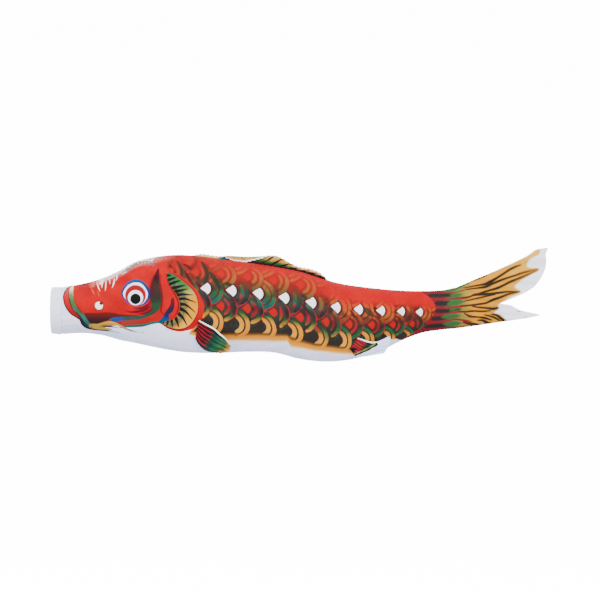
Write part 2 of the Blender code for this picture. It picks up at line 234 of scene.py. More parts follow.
def cloth_height(x, z):
    """Height on the cloth laid flat, of places seen from the side at x and z."""
    x, z = np.asarray(x, float), np.asarray(z, float)
    top, bottom, half = (curve(OUTLINE, x, c) for c in (1, 2, 3))
    middle, tall = (top + bottom) / 2, (top - bottom) / 2
    angle = np.arccos(np.clip((z - middle) / tall, -1, 1))
    part = (np.arange(32) + 0.5) / 32
    t = angle[..., None] + (np.pi / 2 - angle[..., None]) * part
    speed = np.hypot(tall[..., None] * np.sin(t), half[..., None] * np.cos(t)).mean(-1)
    lifted = middle + (np.pi / 2 - angle) * speed
    return z + (lifted - z) * (1 - ease(0.72, 0.8, x))


def ripple(x, z, waves):
    """Sum of plane waves, each (height, length along x, length along z, phase)."""
    return sum(
        a * np.sin(2 * np.pi * (x / lx + z / lz) + phase) for a, lx, lz, phase in waves
    )


def dent(x, middle, length):
    """1 at a place along the body, dying away over a length on either side."""
    return np.exp(-(((x - middle) / length) ** 2))


def folds(x, z, k, side):
    """How far wind and sewing push the cloth outwards, and how far the tail swings to a side."""
    swells = ripple(x, z, (
        (0.0009, 0.16, 0.21, 0.4 * side), (0.0007, 0.093, -0.15, 1.9 + side),
        (0.0004, 0.061, 0.12, 0.7 - side),
    )) * ease(0.05, 0.25, x) * (1 - ease(0.7, 0.84, x))
    # pleats behind the collar, and puckers along the two seams
    pleats = 0.0005 * np.sin(k * 58 + 3 * np.sin(k * 9 + side)) * (1 - ease(0.024, 0.075, x))
    seam = np.minimum(k, 1 - k)
    pucker = 0.0007 * np.sin(2 * np.pi * x / 0.0085 + 4 * np.sin(x * 37 + side))
    pucker = pucker * np.exp(-seam / 0.035) * ease(0.0, 0.012, seam) * (1 - ease(0.8, 0.86, x))
    # two creases across the belly, and ripples under it
    back_of_shoulder = -0.0022 * dent(x, 0.474 + 0.01 * (k - 0.8), 0.006) * ease(0.52, 0.8, k)
    behind_waist = -0.002 * dent(x, 0.6 + 0.1 * (k - 0.8), 0.012) * ease(0.6, 0.85, k)
    below = 0.001 * np.sin(2 * np.pi * (x / 0.037 + z / 0.11) + 2.0 * np.sin(x * 31 + side))
    below = below * ease(0.66, 0.84, k) * ease(0.1, 0.16, x) * (0.6 + 0.4 * np.sin(x * 23))
    below = below * (1 - ease(0.66, 0.74, x))
    streaming = ripple(x, z, (
        (0.0008, 0.3, 0.021, 0.9), (0.0006, 0.17, 0.013, 2.2 + side),
        (0.0004, -0.24, 0.017, 0.3 - side),
    )) * ease(0.76, 0.86, x)
    inside = np.sin(np.pi * k) ** 0.7  # no push at the seams
    out = inside * (swells + back_of_shoulder + behind_waist + streaming + below)
    out = out + inside**0.3 * pleats + pucker
    swing = ease(0.84, 0.99, x) * (
        0.005 * np.sin(2 * np.pi * (x / 0.11 - z / 0.14)) + 0.0022 * np.sin(z / 0.0065 + 1.0)
    )
    return out, swing


# ---------------------------------------------------------------- the print, in millimetres

# The printed marks are lists of shapes.  A fill is a closed outline of (x, z), and a line is a chain
# of (x, z, half width); both are smoothed through their points.
GILL_EDGE = [  # where the head's print ends, from the back to the throat
    (229, 150), (231, 110), (233, 76), (248, 74), (266, 63), (285, 46), (298, 27), (304, 9), (304, -3),
    (300, -17), (291, -29), (282, -36),
]
LAYERS = {
    "head": [[(0, 150), *GILL_EDGE, (270, -60), (262, -120), (0, -120)]],
    "face": [[
        (44, 70), (44, 34), (45, 22), (50, 10), (57, -1), (66, -8), (71, -18), (79, -27), (92, -27),
        (103, -25), (113, -22), (125, -24), (137, -30), (147, -33), (177, -32), (201, -26), (213, -24),
        (223, -29), (232, -35), (243, -39), (257, -41), (271, -39), *GILL_EDGE[::-1], (44, 150),
    ]],
    "lip": [[
        (38, 52), (33, 46), (27, 39), (24, 30), (25, 16), (33, 1), (42, -9), (56, -18), (58, -13),
        (50, -5), (41, 7), (36, 21), (35, 36), (38, 48),
    ]],
    "lip_green": [[
        (36, 49), (36, 36), (36, 22), (41, 8), (50, -4), (57, -15), (61, -25), (69, -31), (80, -36),
        (88, -35), (84, -27), (76, -22), (70, -12), (60, -3), (51, 7), (45, 20), (43, 34), (44, 50),
    ]],
    "lip_lines": [
        [
            (42, 49, 0.4), (36, 47, 0.7), (30, 43, 0.8), (24.5, 33, 1.0), (24, 22, 1.1), (28, 8, 1.1),
            (38, -6, 1.2), (49, -13, 1.3), (57, -18, 1.8), (62, -27, 2.4), (71, -34, 2.2), (85, -38, 1.3),
            (102, -40, 0.9), (137, -44, 0.5),
        ],
        [
            (36, 45, 0.4), (35, 34, 0.7), (36, 21, 0.8), (41, 6.5, 0.9), (50, -5, 0.9), (58, -13, 1.1),
            (64, -23, 1.2), (72, -30, 0.8),
        ],
        [(44, 47, 0.3), (44, 34, 0.5), (45.5, 20, 0.6), (51, 8, 0.6), (60, -3, 0.6), (66, -8, 0.3)],
        [(42, 50, 0.5), (55, 50.5, 0.7), (67, 52, 0.9), (76, 55, 0.4)],
    ],
    "maroon": [[
        (66, -6), (87, -5), (117, -4), (137, -8), (157, -9.5), (174, -10.5), (174, -13.5), (147, -13.5),
        (123, -14.5), (113, -19.5), (101, -23), (92, -26), (79, -26), (71, -17),
    ]],
    "blue_patch": [[
        (117, -17), (122, -14.5), (137, -13), (145, -15), (142, -20), (130, -22.5), (120, -21),
    ]],
    "sweep": [[
        (137, -12.5), (173, -11), (190, -5), (201, 9), (198, 22), (197, 40), (201, 56), (207, 73),
        (214, 85), (215, 73), (215, 56), (219, 33), (219, 16), (215, 2), (202, -8), (179, -17),
        (157, -19.5), (137, -20),
    ]],
    "teal": [[
        (145, -32), (157, -29), (179, -27.5), (190, -25.5), (202, -22.5), (209, -22), (215, -25),
        (202, -27), (190, -30.5), (179, -33), (160, -34), (147, -34),
    ]],
    "navy": [[
        (243, 26), (239, 21), (237, 10), (227, -4), (223, -13), (214, -21), (213, -25), (229, -27),
        (236, -19), (235, -9), (243, -1), (246, 11), (245, 23),
    ]],
    "frill": [[
        (230, 74), (236, 52), (248, 35), (255, 22), (257, 10), (255, -1), (249, -13), (241, -18),
        (231, -21), (221, -25), (231, -31), (243, -35), (257, -36), (271, -32), (282, -22), (291, -5),
        (293, 10), (290, 27), (281, 42), (265, 57), (248, 69), (236, 76),
    ]],
    "teeth": [
        [(231, 70, 2.6), (238, 70.5, 1.0)], [(234, 61, 2.8), (242, 64, 2.0), (250, 66.5, 0.5)],
        [(237, 53, 3.0), (247, 57, 2.2), (259, 60.5, 0.5)],
        [(242, 45, 3.2), (254, 48, 2.2), (268, 51, 0.5)],
        [(248, 38, 3.4), (258, 40.5, 2.0), (275, 44, 0.5)],
        [(252, 31, 3.0), (264, 32.5, 1.9), (283, 31, 0.5)],
        [(255, 23, 3.2), (268, 23.5, 1.8), (289, 16, 0.5)],
        [(257, 13, 3.4), (270, 10.5, 1.8), (288, -4, 0.5)],
        [(257, 4, 3.6), (269, -3, 1.9), (282, -18, 0.5)],
        [(254, -6, 3.6), (263, -15, 1.9), (271, -29, 0.6)],
        [(248, -14, 3.2), (252, -24, 1.8), (255, -33, 0.6)],
        [(240, -18, 2.6), (241, -26, 1.5), (242, -33, 0.6)],
        [(233, -22, 2.2), (231, -27, 1.2), (229, -31, 0.5)], [(224, -24, 1.5), (221, -28, 0.5)],
    ],
    "frill_edge": [
        [
            (233, 76.5, 0.5), (248, 70.5, 0.7), (266, 58, 0.7), (282, 43, 0.7), (291, 27, 0.7),
            (294, 10, 0.7), (292, -6, 0.7), (283, -23, 0.8), (271, -34, 0.9), (257, -38, 1.1),
            (243, -37, 1.1), (231, -33, 1.0), (221, -27, 0.6),
        ],
        [
            (228, 75, 0.5), (234, 54, 0.9), (246, 34, 1.0), (252, 21, 1.1), (254, 9, 1.1), (252, -2, 1.0),
            (246, -12, 0.8), (238, -16, 0.4),
        ],
    ],
    "cheek_lines": [
        [(147, 0, 0.3), (158, -3, 1.2), (172, -2, 2.2), (188, 2, 2.4), (198, 9, 0.8)],
        [(164, 4, 0.3), (178, 4.5, 1.6), (190, 9, 2.0), (199, 17, 0.6)],
        [(172, -7, 0.3), (186, -5.5, 1.6), (198, 0, 1.8), (205, 7, 0.5)],
        [(199, 24, 0.5), (202, 34, 1.8), (201, 48, 2.0), (204, 62, 0.8)],
        [(224, -8, 0.5), (219, 0, 0.9), (221, 16, 0.9), (221, 33, 0.8), (217, 56, 0.7), (217, 74, 0.4)],
    ],
    "eye": [[
        (140, 35), (144, 46), (152, 55), (161, 60), (169, 62), (179, 60), (187, 54), (194, 45), (197, 34),
        (196, 26), (190, 16), (182, 11), (169, 9), (158, 12), (150, 17), (143, 26),
    ]],
    "eye_white": [[
        (143, 34), (150, 47), (159, 53.5), (169, 56), (179, 54), (187, 46), (192.5, 35), (191.5, 26),
        (185, 16), (179, 12), (169, 10.5), (159, 12), (149, 21.5),
    ]],
    "crown": [[
        (94, 57), (111, 62), (131, 70), (147, 76), (162, 87), (179, 94.5), (194, 97), (202, 100),
        (205, 140), (94, 140),
    ]],
    "crown_blush": [[
        (76, 51), (94, 51), (111, 56), (131, 63), (147, 70), (162, 80), (179, 87), (197, 89), (222, 98),
        (250, 103), (250, 140), (76, 140),
    ]],
    "crown_hatch": [
        [(137, 73, 0.4), (150, 81, 0.9), (163, 90, 1.0), (178, 96.5, 0.9), (196, 99, 0.5)],
        [(146, 76, 0.3), (158, 84, 0.8), (172, 92, 0.7), (186, 96, 0.3)],
        [(196, 99, 0.6), (200, 94, 1.1), (203, 89, 0.4)], [(204, 99, 0.6), (206, 92, 1.0)],
        [(190, 97, 0.5), (193, 91, 0.9)],
    ],
    "brow": [
        [(90.5, 57, 0.6), (93.5, 47, 1.1), (97, 38.5, 0.3)],
        [(109, 60, 0.7), (108.5, 49, 1.1), (107.5, 39.5, 0.3)], [(116, 62, 1.2), (117, 53, 0.3)],
        [(126, 62, 1.3), (124, 53, 1.2), (121, 45, 0.3)],
        [(102, 60, 2.2), (101, 52, 1.4), (101, 45, 0.3)], [(131, 68, 1.6), (130, 60, 0.3)],
    ],
    "brow_dark": [
        [(87, 58, 0.5), (89, 50, 0.9), (90.5, 44, 0.3)], [(70, 52, 0.4), (73, 45, 0.7), (76, 38, 0.3)],
        [(104, 56, 0.5), (104, 47, 0.8), (103, 41, 0.2)], [(112, 58, 0.5), (112, 49, 0.8)],
        [(119, 56, 0.5), (119.5, 48, 0.7)],
    ],
    "brow_salmon": [
        [(80, 44, 0.6), (83, 38, 1.2), (86, 31, 0.3)], [(75, 53, 0.5), (78, 46, 0.9)],
        [(92, 40, 0.4), (94, 33, 0.8), (97, 27, 0.2)],
    ],
    "barbel_fill": [[
        (76, -27), (84, -30), (95, -26), (104, -23), (116, -22.5), (125, -26), (131, -30), (120, -31),
        (109, -33), (109, -36), (119, -38.5), (112, -41), (96, -40), (84, -38), (76, -34),
    ]],
    "barbel": [
        [
            (80, -28, 1.5), (85, -30, 3.6), (92, -30, 3.2), (98, -27.5, 2.2), (106, -24.5, 2.3),
            (114, -23.2, 2.5), (124, -25, 2.6), (136, -30, 2.2), (148, -35.5, 1.4), (160, -40, 0.9),
            (173, -43.5, 0.6),
        ],
        [(84, -34, 1.2), (92, -35.5, 2.2), (102, -36, 1.9), (112, -37, 2.0), (121, -38.5, 1.3)],
    ],
    "barbel_line": [
        [(100, -31, 0.5), (108, -31.5, 1.6), (117, -32, 1.6), (127, -33.5, 0.8), (140, -35, 0.4)],
        [(93, -26, 0.5), (101, -23.5, 0.7), (114, -20.5, 0.7), (126, -22, 0.7), (139, -28, 0.5)],
        [(137, -33, 0.4), (150, -38.5, 0.6), (163, -42, 0.6), (184, -44.5, 0.5)],
    ],
    "stalk_end": [[
        (722, 60), (739, 39), (752, 30), (762, 20), (767, 12), (768, 4), (766, -4), (761, -15),
        (752, -26), (741, -34), (724, -44), (715, -70), (1020, -70), (1020, 160), (740, 100),
    ]],
    "tail_gold": [[
        (700, -60), (700, 60), (800, 60), (870, 95), (960, 150), (976, 124), (975, 112), (959, 104),
        (951, 92), (957, 86), (974, 85), (974, 79), (957, 70), (937, 58), (927, 47), (938, 40), (938, 35),
        (921, 28), (907, 20), (894, 11), (896, 3), (886, -4), (898, -8), (908, -17), (916, -25),
        (880, -40),
    ]],
    "ovals": [
        [(749, 29, 0.8), (760, 30, 3.2), (778, 30, 3.0), (800, 31, 2.0), (814, 31, 0.6)],
        [(766, 14, 1.2), (774, 14.5, 4.2), (790, 14.5, 3.6), (808, 15, 1.0)],
        [(767, -1.5, 1.2), (776, -1, 3.6), (792, -1, 3.0), (806, 1, 1.6), (818, 3, 0.6)],
        [(757, -17, 0.8), (766, -16.5, 3.2), (782, -15.5, 2.8), (796, -14, 0.8)],
        [(744, -33, 1.0), (757, -31.5, 3.2), (780, -30, 3.0), (796, -28, 0.8)],
    ],
    "tail_green": [
        [(780, -14, 1.0), (793, -12, 4.8), (806, -10.5, 4.0), (818, -9, 0.8)],
        [(784, -28, 1.0), (796, -27, 4.2), (808, -26, 3.6), (820, -25, 0.8)],
        [(797, 31, 0.8), (808, 31, 3.8), (821, 31.5, 1.0)],
        [(792, 13, 1.5), (802, 15, 5.0), (812, 16.5, 5.0), (826, 18, 1.0)],
        [(776, 39, 0.8), (790, 40, 2.6), (812, 46, 3.2), (836, 55, 1.0)],
        [(796, -1, 0.8), (804, 3, 3.2), (815, 5, 1.0)],
    ],
    "tail_pink": [
        [(750, 36, 0.5), (775, 35, 0.8), (805, 36, 0.9), (829, 42, 1.1), (845, 44, 0.6)],
        [(757, 24, 0.6), (775, 22, 1.0), (795, 22, 0.9), (825, 24, 1.2), (840, 27, 0.5)],
        [(768, 6, 0.7), (790, 5, 0.9), (812, 8, 1.8), (835, 10, 1.2), (850, 9, 0.4)],
        [(766, -9, 0.7), (790, -7, 0.9), (812, -3, 2.0), (835, -3, 1.0), (850, -2, 0.4)],
        [(758, -24, 0.7), (785, -22, 0.9), (805, -18, 1.6), (828, -20, 1.9), (842, -22, 0.5)],
        [(745, -38, 0.6), (780, -36, 1.0), (812, -33, 1.0), (830, -30, 0.6)],
    ],
    "tail_shade": [
        [(742, 38, 1.0), (760, 37, 2.4), (784, 35, 1.8), (800, 34, 0.6)],
        [(742, -38, 1.0), (765, -38, 2.0), (792, -35, 1.6), (806, -34, 0.6)],
        [(800, 24, 0.6), (816, 25, 1.8), (832, 27, 0.8)], [(798, 6, 0.6), (814, 7.5, 1.6), (830, 8, 0.6)],
    ],
    "tail_marks": [
        [(929, -1.5, 0.3), (934, -2, 1.0), (939, -1, 0.3)],
        [(942, -15.5, 0.4), (947, -15, 1.2), (953, -12.5, 0.4)],
    ],
    "streaks": [
        [(836, 58, 0.6), (853, 64, 1.4), (870, 70.5, 0.5)],
        [
            (824, 45, 0.6), (838, 47.5, 1.0), (857, 51, 1.3), (868, 53, 2.2), (876, 56, 3.2),
            (884, 61, 1.9), (903, 73, 1.5), (915, 81, 1.5), (927, 87, 1.4), (938, 91, 0.5),
        ],
        [
            (829, 42, 0.7), (853, 45, 1.3), (869, 47.5, 1.9), (881, 53, 1.7), (897, 60, 1.4),
            (911, 65, 1.4), (927, 70, 1.3), (945, 76, 1.4), (974, 83, 0.8),
        ],
        [
            (850, 33, 0.6), (860, 35.5, 1.2), (875, 40, 1.4), (891, 44.5, 1.7), (907, 52, 1.6),
            (919, 58, 1.6), (936, 65, 1.5), (953, 72, 1.5), (973, 80.5, 0.6),
        ],
        [
            (822, 25, 0.6), (837, 28, 1.0), (847, 31.5, 2.4), (863, 32.5, 2.1), (877, 33, 2.0),
            (891, 35, 1.6), (913, 37.5, 1.1), (936, 37.5, 0.5),
        ],
        [(826, 19, 0.5), (839, 21.5, 0.8), (863, 27, 1.0), (887, 32, 0.5)],
        [
            (818, 9.5, 0.8), (839, 10.5, 1.5), (853, 12.5, 1.5), (869, 15, 1.3), (883, 21.5, 1.8),
            (899, 27, 1.7), (916, 33.5, 1.2), (932, 36.5, 0.5),
        ],
        [(842, 8, 0.6), (853, 6.5, 1.1), (869, 5, 1.2), (884, 3.5, 1.9), (895, 6, 0.5)],
        [(814, -2, 0.7), (830, -2.5, 1.2), (843, -1, 1.2), (863, -1.6, 1.0), (878, 0, 0.4)],
        [(826, -6, 0.8), (837, -11.5, 1.9), (853, -13, 1.0), (867, -15, 1.7), (880, -19, 0.6)],
        [(852, -19.5, 0.5), (863, -20, 1.8), (874, -26, 2.6), (884, -27.5, 0.8)],
        [(824, -23, 1.4), (837, -26.5, 3.2), (851, -28.5, 2.0), (862, -30, 0.6)],
        [(880, -8, 0.5), (890, -9.5, 1.6), (898, -15, 2.0), (906, -20.5, 2.0), (915, -24, 0.6)],
        [(866, -9, 0.4), (876, -11, 1.0), (888, -15, 1.3), (899, -22, 0.5)],
    ],
    "stroke_dark": [
        [(252, 96, 0.8), (258, 86, 2.8), (261, 77, 3.0), (261, 68, 1.0)],
        [(283, 76, 1.0), (289, 71, 2.8), (294, 64, 1.0)],
        [(299, 98, 0.8), (306, 88, 3.0), (311, 74, 3.8), (310, 63, 3.0), (306, 55, 1.0)],
        [(316, 77, 1.0), (324, 66, 4.0), (331, 54, 3.8), (336, 45, 1.2)],
        [(348, 54, 1.5), (355, 52, 3.4), (363, 50, 1.5)],
        [(499, 30, 1.0), (505, 28, 3.0), (511, 24, 1.0)], [(625, 5, 2.0), (634, -2, 5.5), (641, -9, 3.0)],
        [(556, 8, 1.0), (560, 2, 2.4), (560, -4, 1.0)],
    ],
    "stroke_maroon": [
        [(236, 92, 0.8), (241, 83, 2.6), (248, 74, 0.8)],
        [(264, 92, 0.8), (271, 89, 2.4), (280, 82, 0.8)],
        [(266, 79, 1.0), (274, 65, 3.2), (282, 52, 1.2)],
        [(289, 56, 0.8), (296, 49, 2.4), (301, 42, 0.8)],
        [(344, 39, 1.0), (355, 32, 3.2), (363, 20, 2.4), (366, 10, 0.8)],
        [(396, 36, 0.8), (405, 27, 2.4), (411, 18, 0.8)], [(502, 12, 0.8), (508, 4, 2.6), (516, -3, 0.8)],
        [(645, 6, 1.5), (652, -4, 4.5), (657, -14, 2.0)],
        [(597, 1, 0.8), (603, -6, 2.2), (606, -13, 0.8)],
    ],
}
HEM = (  # x, top and bottom of the gold band under the scales
    (262, -38, -44), (317, -45, -60), (380, -45.5, -61), (440, -46, -62), (471, -48, -63),
    (478, -54, -75), (500, -60, -77), (527, -66, -81), (560, -70, -85), (590, -74, -87), (610, -75, -86),
    (630, -71, -79), (652, -64, -68), (675, -57, -59), (690, -55, -57), (705, -60, -62), (760, -70, -80),
    (1000, -90, -100),
)
MARKS = (  # x and z of the white mark at the start of each scale along the middle of the side
    (310.5, 43.6), (361.5, 39.6), (415.5, 34.0), (467, 25.2), (521.5, 15.8), (571, 6.4), (616, 2.6),
    (660.5, -0.4), (701, -1.6), (737.5, -3.0),
)
SCALE_ROW = ((220, 32), (310, 33), (470, 33.5), (570, 33), (620, 31), (700, 26), (770, 22))
SCALE_WIDE = 0.69  # half width of a scale, against the distance between marks

DORSAL = (  # distance from the mouth, height over the back, and how far the fold hangs down
    (0.281, 0.0004, 0.0), (0.292, 0.004, 0.0), (0.303, 0.0064, 0.0), (0.322, 0.006, 0.0),
    (0.341, 0.0067, 0.0004), (0.353, 0.009, 0.004), (0.365, 0.0098, 0.0082), (0.387, 0.011, 0.009),
    (0.405, 0.014, 0.006), (0.421, 0.0175, 0.003), (0.44, 0.0222, 0.0), (0.45, 0.0234, 0.0),
    (0.463, 0.02, 0.0), (0.477, 0.014, 0.0), (0.497, 0.01, 0.0), (0.517, 0.0124, 0.0),
    (0.537, 0.0112, 0.0), (0.553, 0.0008, 0.0),
)
PAIRED = {  # root from top to bottom on the left side, lean, and the edges of the outline
    "pectoral": (
        ((0.297, -0.0609, -0.019), (0.289, -0.047, -0.055)), 12.0,
        ((0.0, 0.0), (0.015, 0.03), (0.028, 0.047), (0.039, 0.063), (0.054, 0.076)),
        ((0.054, 0.076), (0.066, 0.075), (0.072, 0.06)),
        ((0.039, 0.0), (0.055, 0.011), (0.068, 0.03), (0.072, 0.06)),
    ),
    "pelvic": (
        ((0.612, -0.0449, -0.054), (0.596, -0.0373, -0.076)), 0.0,
        ((0.0, 0.0), (0.01, 0.04), (-0.003, 0.06), (0.006, 0.068)),
        ((0.006, 0.068), (0.024, 0.0735), (0.04, 0.075)),
        ((0.028, 0.0), (0.047, 0.022), (0.049, 0.037), (0.04, 0.075)),
    ),
}
PELVIC_FACE = [[
    (606, -48), (590, -76), (602, -96), (608, -90), (628, -81), (641, -74), (652, -66.5),
    (638, -58),
]]
MARGIN = 7.0  # mm; distances to a shape are kept up to this
DRAWN_FROM = (0.497, 0.021, 6.0)  # x, z and distance of the camera, and of the print's drawing


def as_drawn(x, z, y):
    """Where cloth that stands y nearer than the middle plane is seen in the print's drawing."""
    middle_x, middle_z, far = DRAWN_FROM
    near = far / (far - y)
    return middle_x + (x - middle_x) * near, middle_z + (z - middle_z) * near


def to_shape(x, z, shapes):
    """Distance in mm from each place to the nearest of some shapes, below 0 inside."""
    best = np.full(x.shape, MARGIN)
    for shape in shapes:
        line = len(shape[0]) == 3
        chain = rounded(shape, not line)
        low, high = chain.min(0)[:2] - MARGIN, chain.max(0)[:2] + MARGIN
        near = (x > low[0]) & (x < high[0]) & (z > low[1]) & (z < high[1])
        if not near.any():
            continue
        px, pz = x[near], z[near]
        inside = np.zeros(px.shape, bool)
        nearest = np.full(px.shape, 1e3)
        follow = chain[1:] if line else np.vstack([chain[1:], chain[:1]])
        for a, b in zip(chain, follow):
            dx, dz = b[0] - a[0], b[1] - a[1]
            t = np.clip(((px - a[0]) * dx + (pz - a[1]) * dz) / (dx * dx + dz * dz + 1e-9), 0, 1)
            away = np.hypot(px - a[0] - t * dx, pz - a[1] - t * dz)
            if line:
                away = away - (a[2] + (b[2] - a[2]) * t)
            elif dz:
                crossing = (a[1] > pz) != (b[1] > pz)
                inside ^= crossing & (px < a[0] + (pz - a[1]) * dx / dz)
            nearest = np.minimum(nearest, away)
        nearest = np.where(inside, -nearest, nearest)
        best[near] = np.minimum(best[near], nearest)
    return np.maximum(best, -MARGIN)


def scale_place(x, height):
    """Scales along and rows of scales down from the row of white marks."""
    marks = np.array(MARKS) / 1000
    count = np.arange(len(marks))
    along = np.interp(x, marks[:, 0], count)
    along = np.where(x < marks[0, 0], (x - marks[0, 0]) / 0.05, along)
    along = np.where(x > marks[-1, 0], count[-1] + (x - marks[-1, 0]) / 0.034, along)
    line = np.vstack([[0.2, 0.05], marks, [0.8, -0.004]])
    middle = cloth_height(line[:, 0], line[:, 1])
    middle = curve(np.stack([line[:, 0], middle], -1), x)
    pitch = np.array(SCALE_ROW) / 1000
    return along, (middle - height) / np.interp(x, pitch[:, 0], pitch[:, 1])


def hem_place(x, height):
    """0 at the top of the gold band and 1 at its bottom."""
    rows = np.array(HEM) / 1000
    edges = [cloth_height(rows[:, 0], rows[:, c]) for c in (1, 2)]
    top, bottom = (np.interp(x, rows[:, 0], edge) for edge in edges)
    return (top - height) / (top - bottom)


# ---------------------------------------------------------------- shader values

STUDIO_LIGHT = 2.8  # brightness of a white surface that faces the camera
PALE_LIFT = (  # how much more light a pale ink needs, against its brightness
    (0.0, 0.3, 0.4, 0.53, 0.65, 0.75, 0.81, 0.89), (1, 1, 1.25, 1.7, 2.4, 3.7, 4.6, 7.5),
)


class Ink:
    """A value in a node tree, with arithmetic that adds the nodes for it."""

    def __init__(self, socket):
        self.socket = socket

    def __add__(self, other):
        return calc("ADD", self, other)

    def __sub__(self, other):
        return calc("SUBTRACT", self, other)

    def __rsub__(self, other):
        return calc("SUBTRACT", other, self)

    def __mul__(self, other):
        return calc("MULTIPLY", self, other)

    __radd__ = __add__
    __rmul__ = __mul__


def tree_of(*values):
    return next(v.socket.id_data for v in values if isinstance(v, Ink))


def plug(tree, socket, value):
    if isinstance(value, Ink):
        tree.links.new(value.socket, socket)
    else:
        socket.default_value = value


def calc(operation, *values):
    tree = tree_of(*values)
    node = tree.nodes.new("ShaderNodeMath")
    node.operation = operation
    for socket, value in zip(node.inputs, values):
        plug(tree, socket, value)
    return Ink(node.outputs[0])


def step(low, high, value):
    """0 below low, 1 above high, and smooth between them."""
    tree = tree_of(value)
    node = tree.nodes.new("ShaderNodeMapRange")
    node.interpolation_type = "SMOOTHSTEP"
    plug(tree, node.inputs["Value"], value)
    flip = low > high
    node.inputs["From Min"].default_value = high if flip else low
    node.inputs["From Max"].default_value = low if flip else high
    node.inputs["To Min"].default_value = 1.0 if flip else 0.0
    node.inputs["To Max"].default_value = 0.0 if flip else 1.0
    return Ink(node.outputs["Result"])


def tint(colour):
    """Share of the light that an ink sends back, for it to look like an sRGB colour (three
    values from 0 to 255) in this studio's light.  Bright inks are made purer, because the
    picture's response fades them, and pale ones lighter."""
    part = np.array(colour) / 255
    part = np.where(part < 0.04045, part / 12.92, ((part + 0.055) / 1.055) ** 2.4)
    top = max(part.max(), 1e-6)
    pure = part / top
    pale = pure.min() ** 1.8
    golden = 1.25 * pure[1] * top * (pure[0] > pure[1])
    lift = (1 - pale) * (1 + 0.2 * top + golden) + pale * np.interp(top, *PALE_LIFT)
    light = top * lift / STUDIO_LIGHT * pure ** (1 + 0.5 * (1 - pale) * top)
    return (*(light * min(1, 0.94 / light.max())), 1.0)


def mix(under, over, share):
    """over laid on under; each is a colour, and share is how much of over shows."""
    tree = tree_of(share, under, over)
    node = tree.nodes.new("ShaderNodeMix")
    node.data_type = "RGBA"
    for index, value in ((0, share), (6, under), (7, over)):
        plug(tree, node.inputs[index], tint(value) if isinstance(value, tuple) else value)
    return Ink(node.outputs[2])


def paint(colour, *coats):
    """A colour with coats on it in turn; each is a colour and how much of it shows."""
    for over, share in coats:
        colour = mix(colour, over, share)
    return colour


def ramp(value, *stops):
    """Colour that goes with a value, through stops of (value, colour)."""
    tree = tree_of(value)
    low, high = stops[0][0], stops[-1][0]
    node = tree.nodes.new("ShaderNodeValToRGB")
    plug(tree, node.inputs[0], (value - low) * (1 / (high - low)))
    elements = node.color_ramp.elements
    while len(elements) < len(stops):
        elements.new(0.5)
    for element, (place, colour) in zip(elements, stops):
        element.position = (place - low) / (high - low)
        element.color = tint(colour)
    return Ink(node.outputs[0])


def attribute(tree, name, vector=False):
    node = tree.nodes.new("ShaderNodeAttribute")
    node.attribute_name = name
    return Ink(node.outputs["Vector" if vector else "Fac"])


def noise(place, size, detail=2.0):
    """Soft noise from 0 to 1; size is the length of a blotch."""
    tree = tree_of(place)
    node = tree.nodes.new("ShaderNodeTexNoise")
    plug(tree, node.inputs["Vector"], place)
    node.inputs["Scale"].default_value = 1 / size
    node.inputs["Detail"].default_value = detail
    return Ink(node.outputs["Fac"])


def split(place):
    tree = tree_of(place)
    node = tree.nodes.new("ShaderNodeSeparateXYZ")
    plug(tree, node.inputs[0], place)
    return [Ink(socket) for socket in node.outputs]


# Inks
RED = (238, 30, 44)
TEAL_INK = (40, 132, 116)
GOLD = (246, 180, 50)
PALE_GOLD = (248, 202, 100)
CLOTH_WHITE = (236, 238, 252)


def bare_cloth(place):
    """Unprinted cloth, faintly uneven in colour."""
    return ramp(noise(place, 0.024, 3.0), (0.34, (224, 232, 252)), (0.5, CLOTH_WHITE),
                (0.66, (246, 232, 246)))


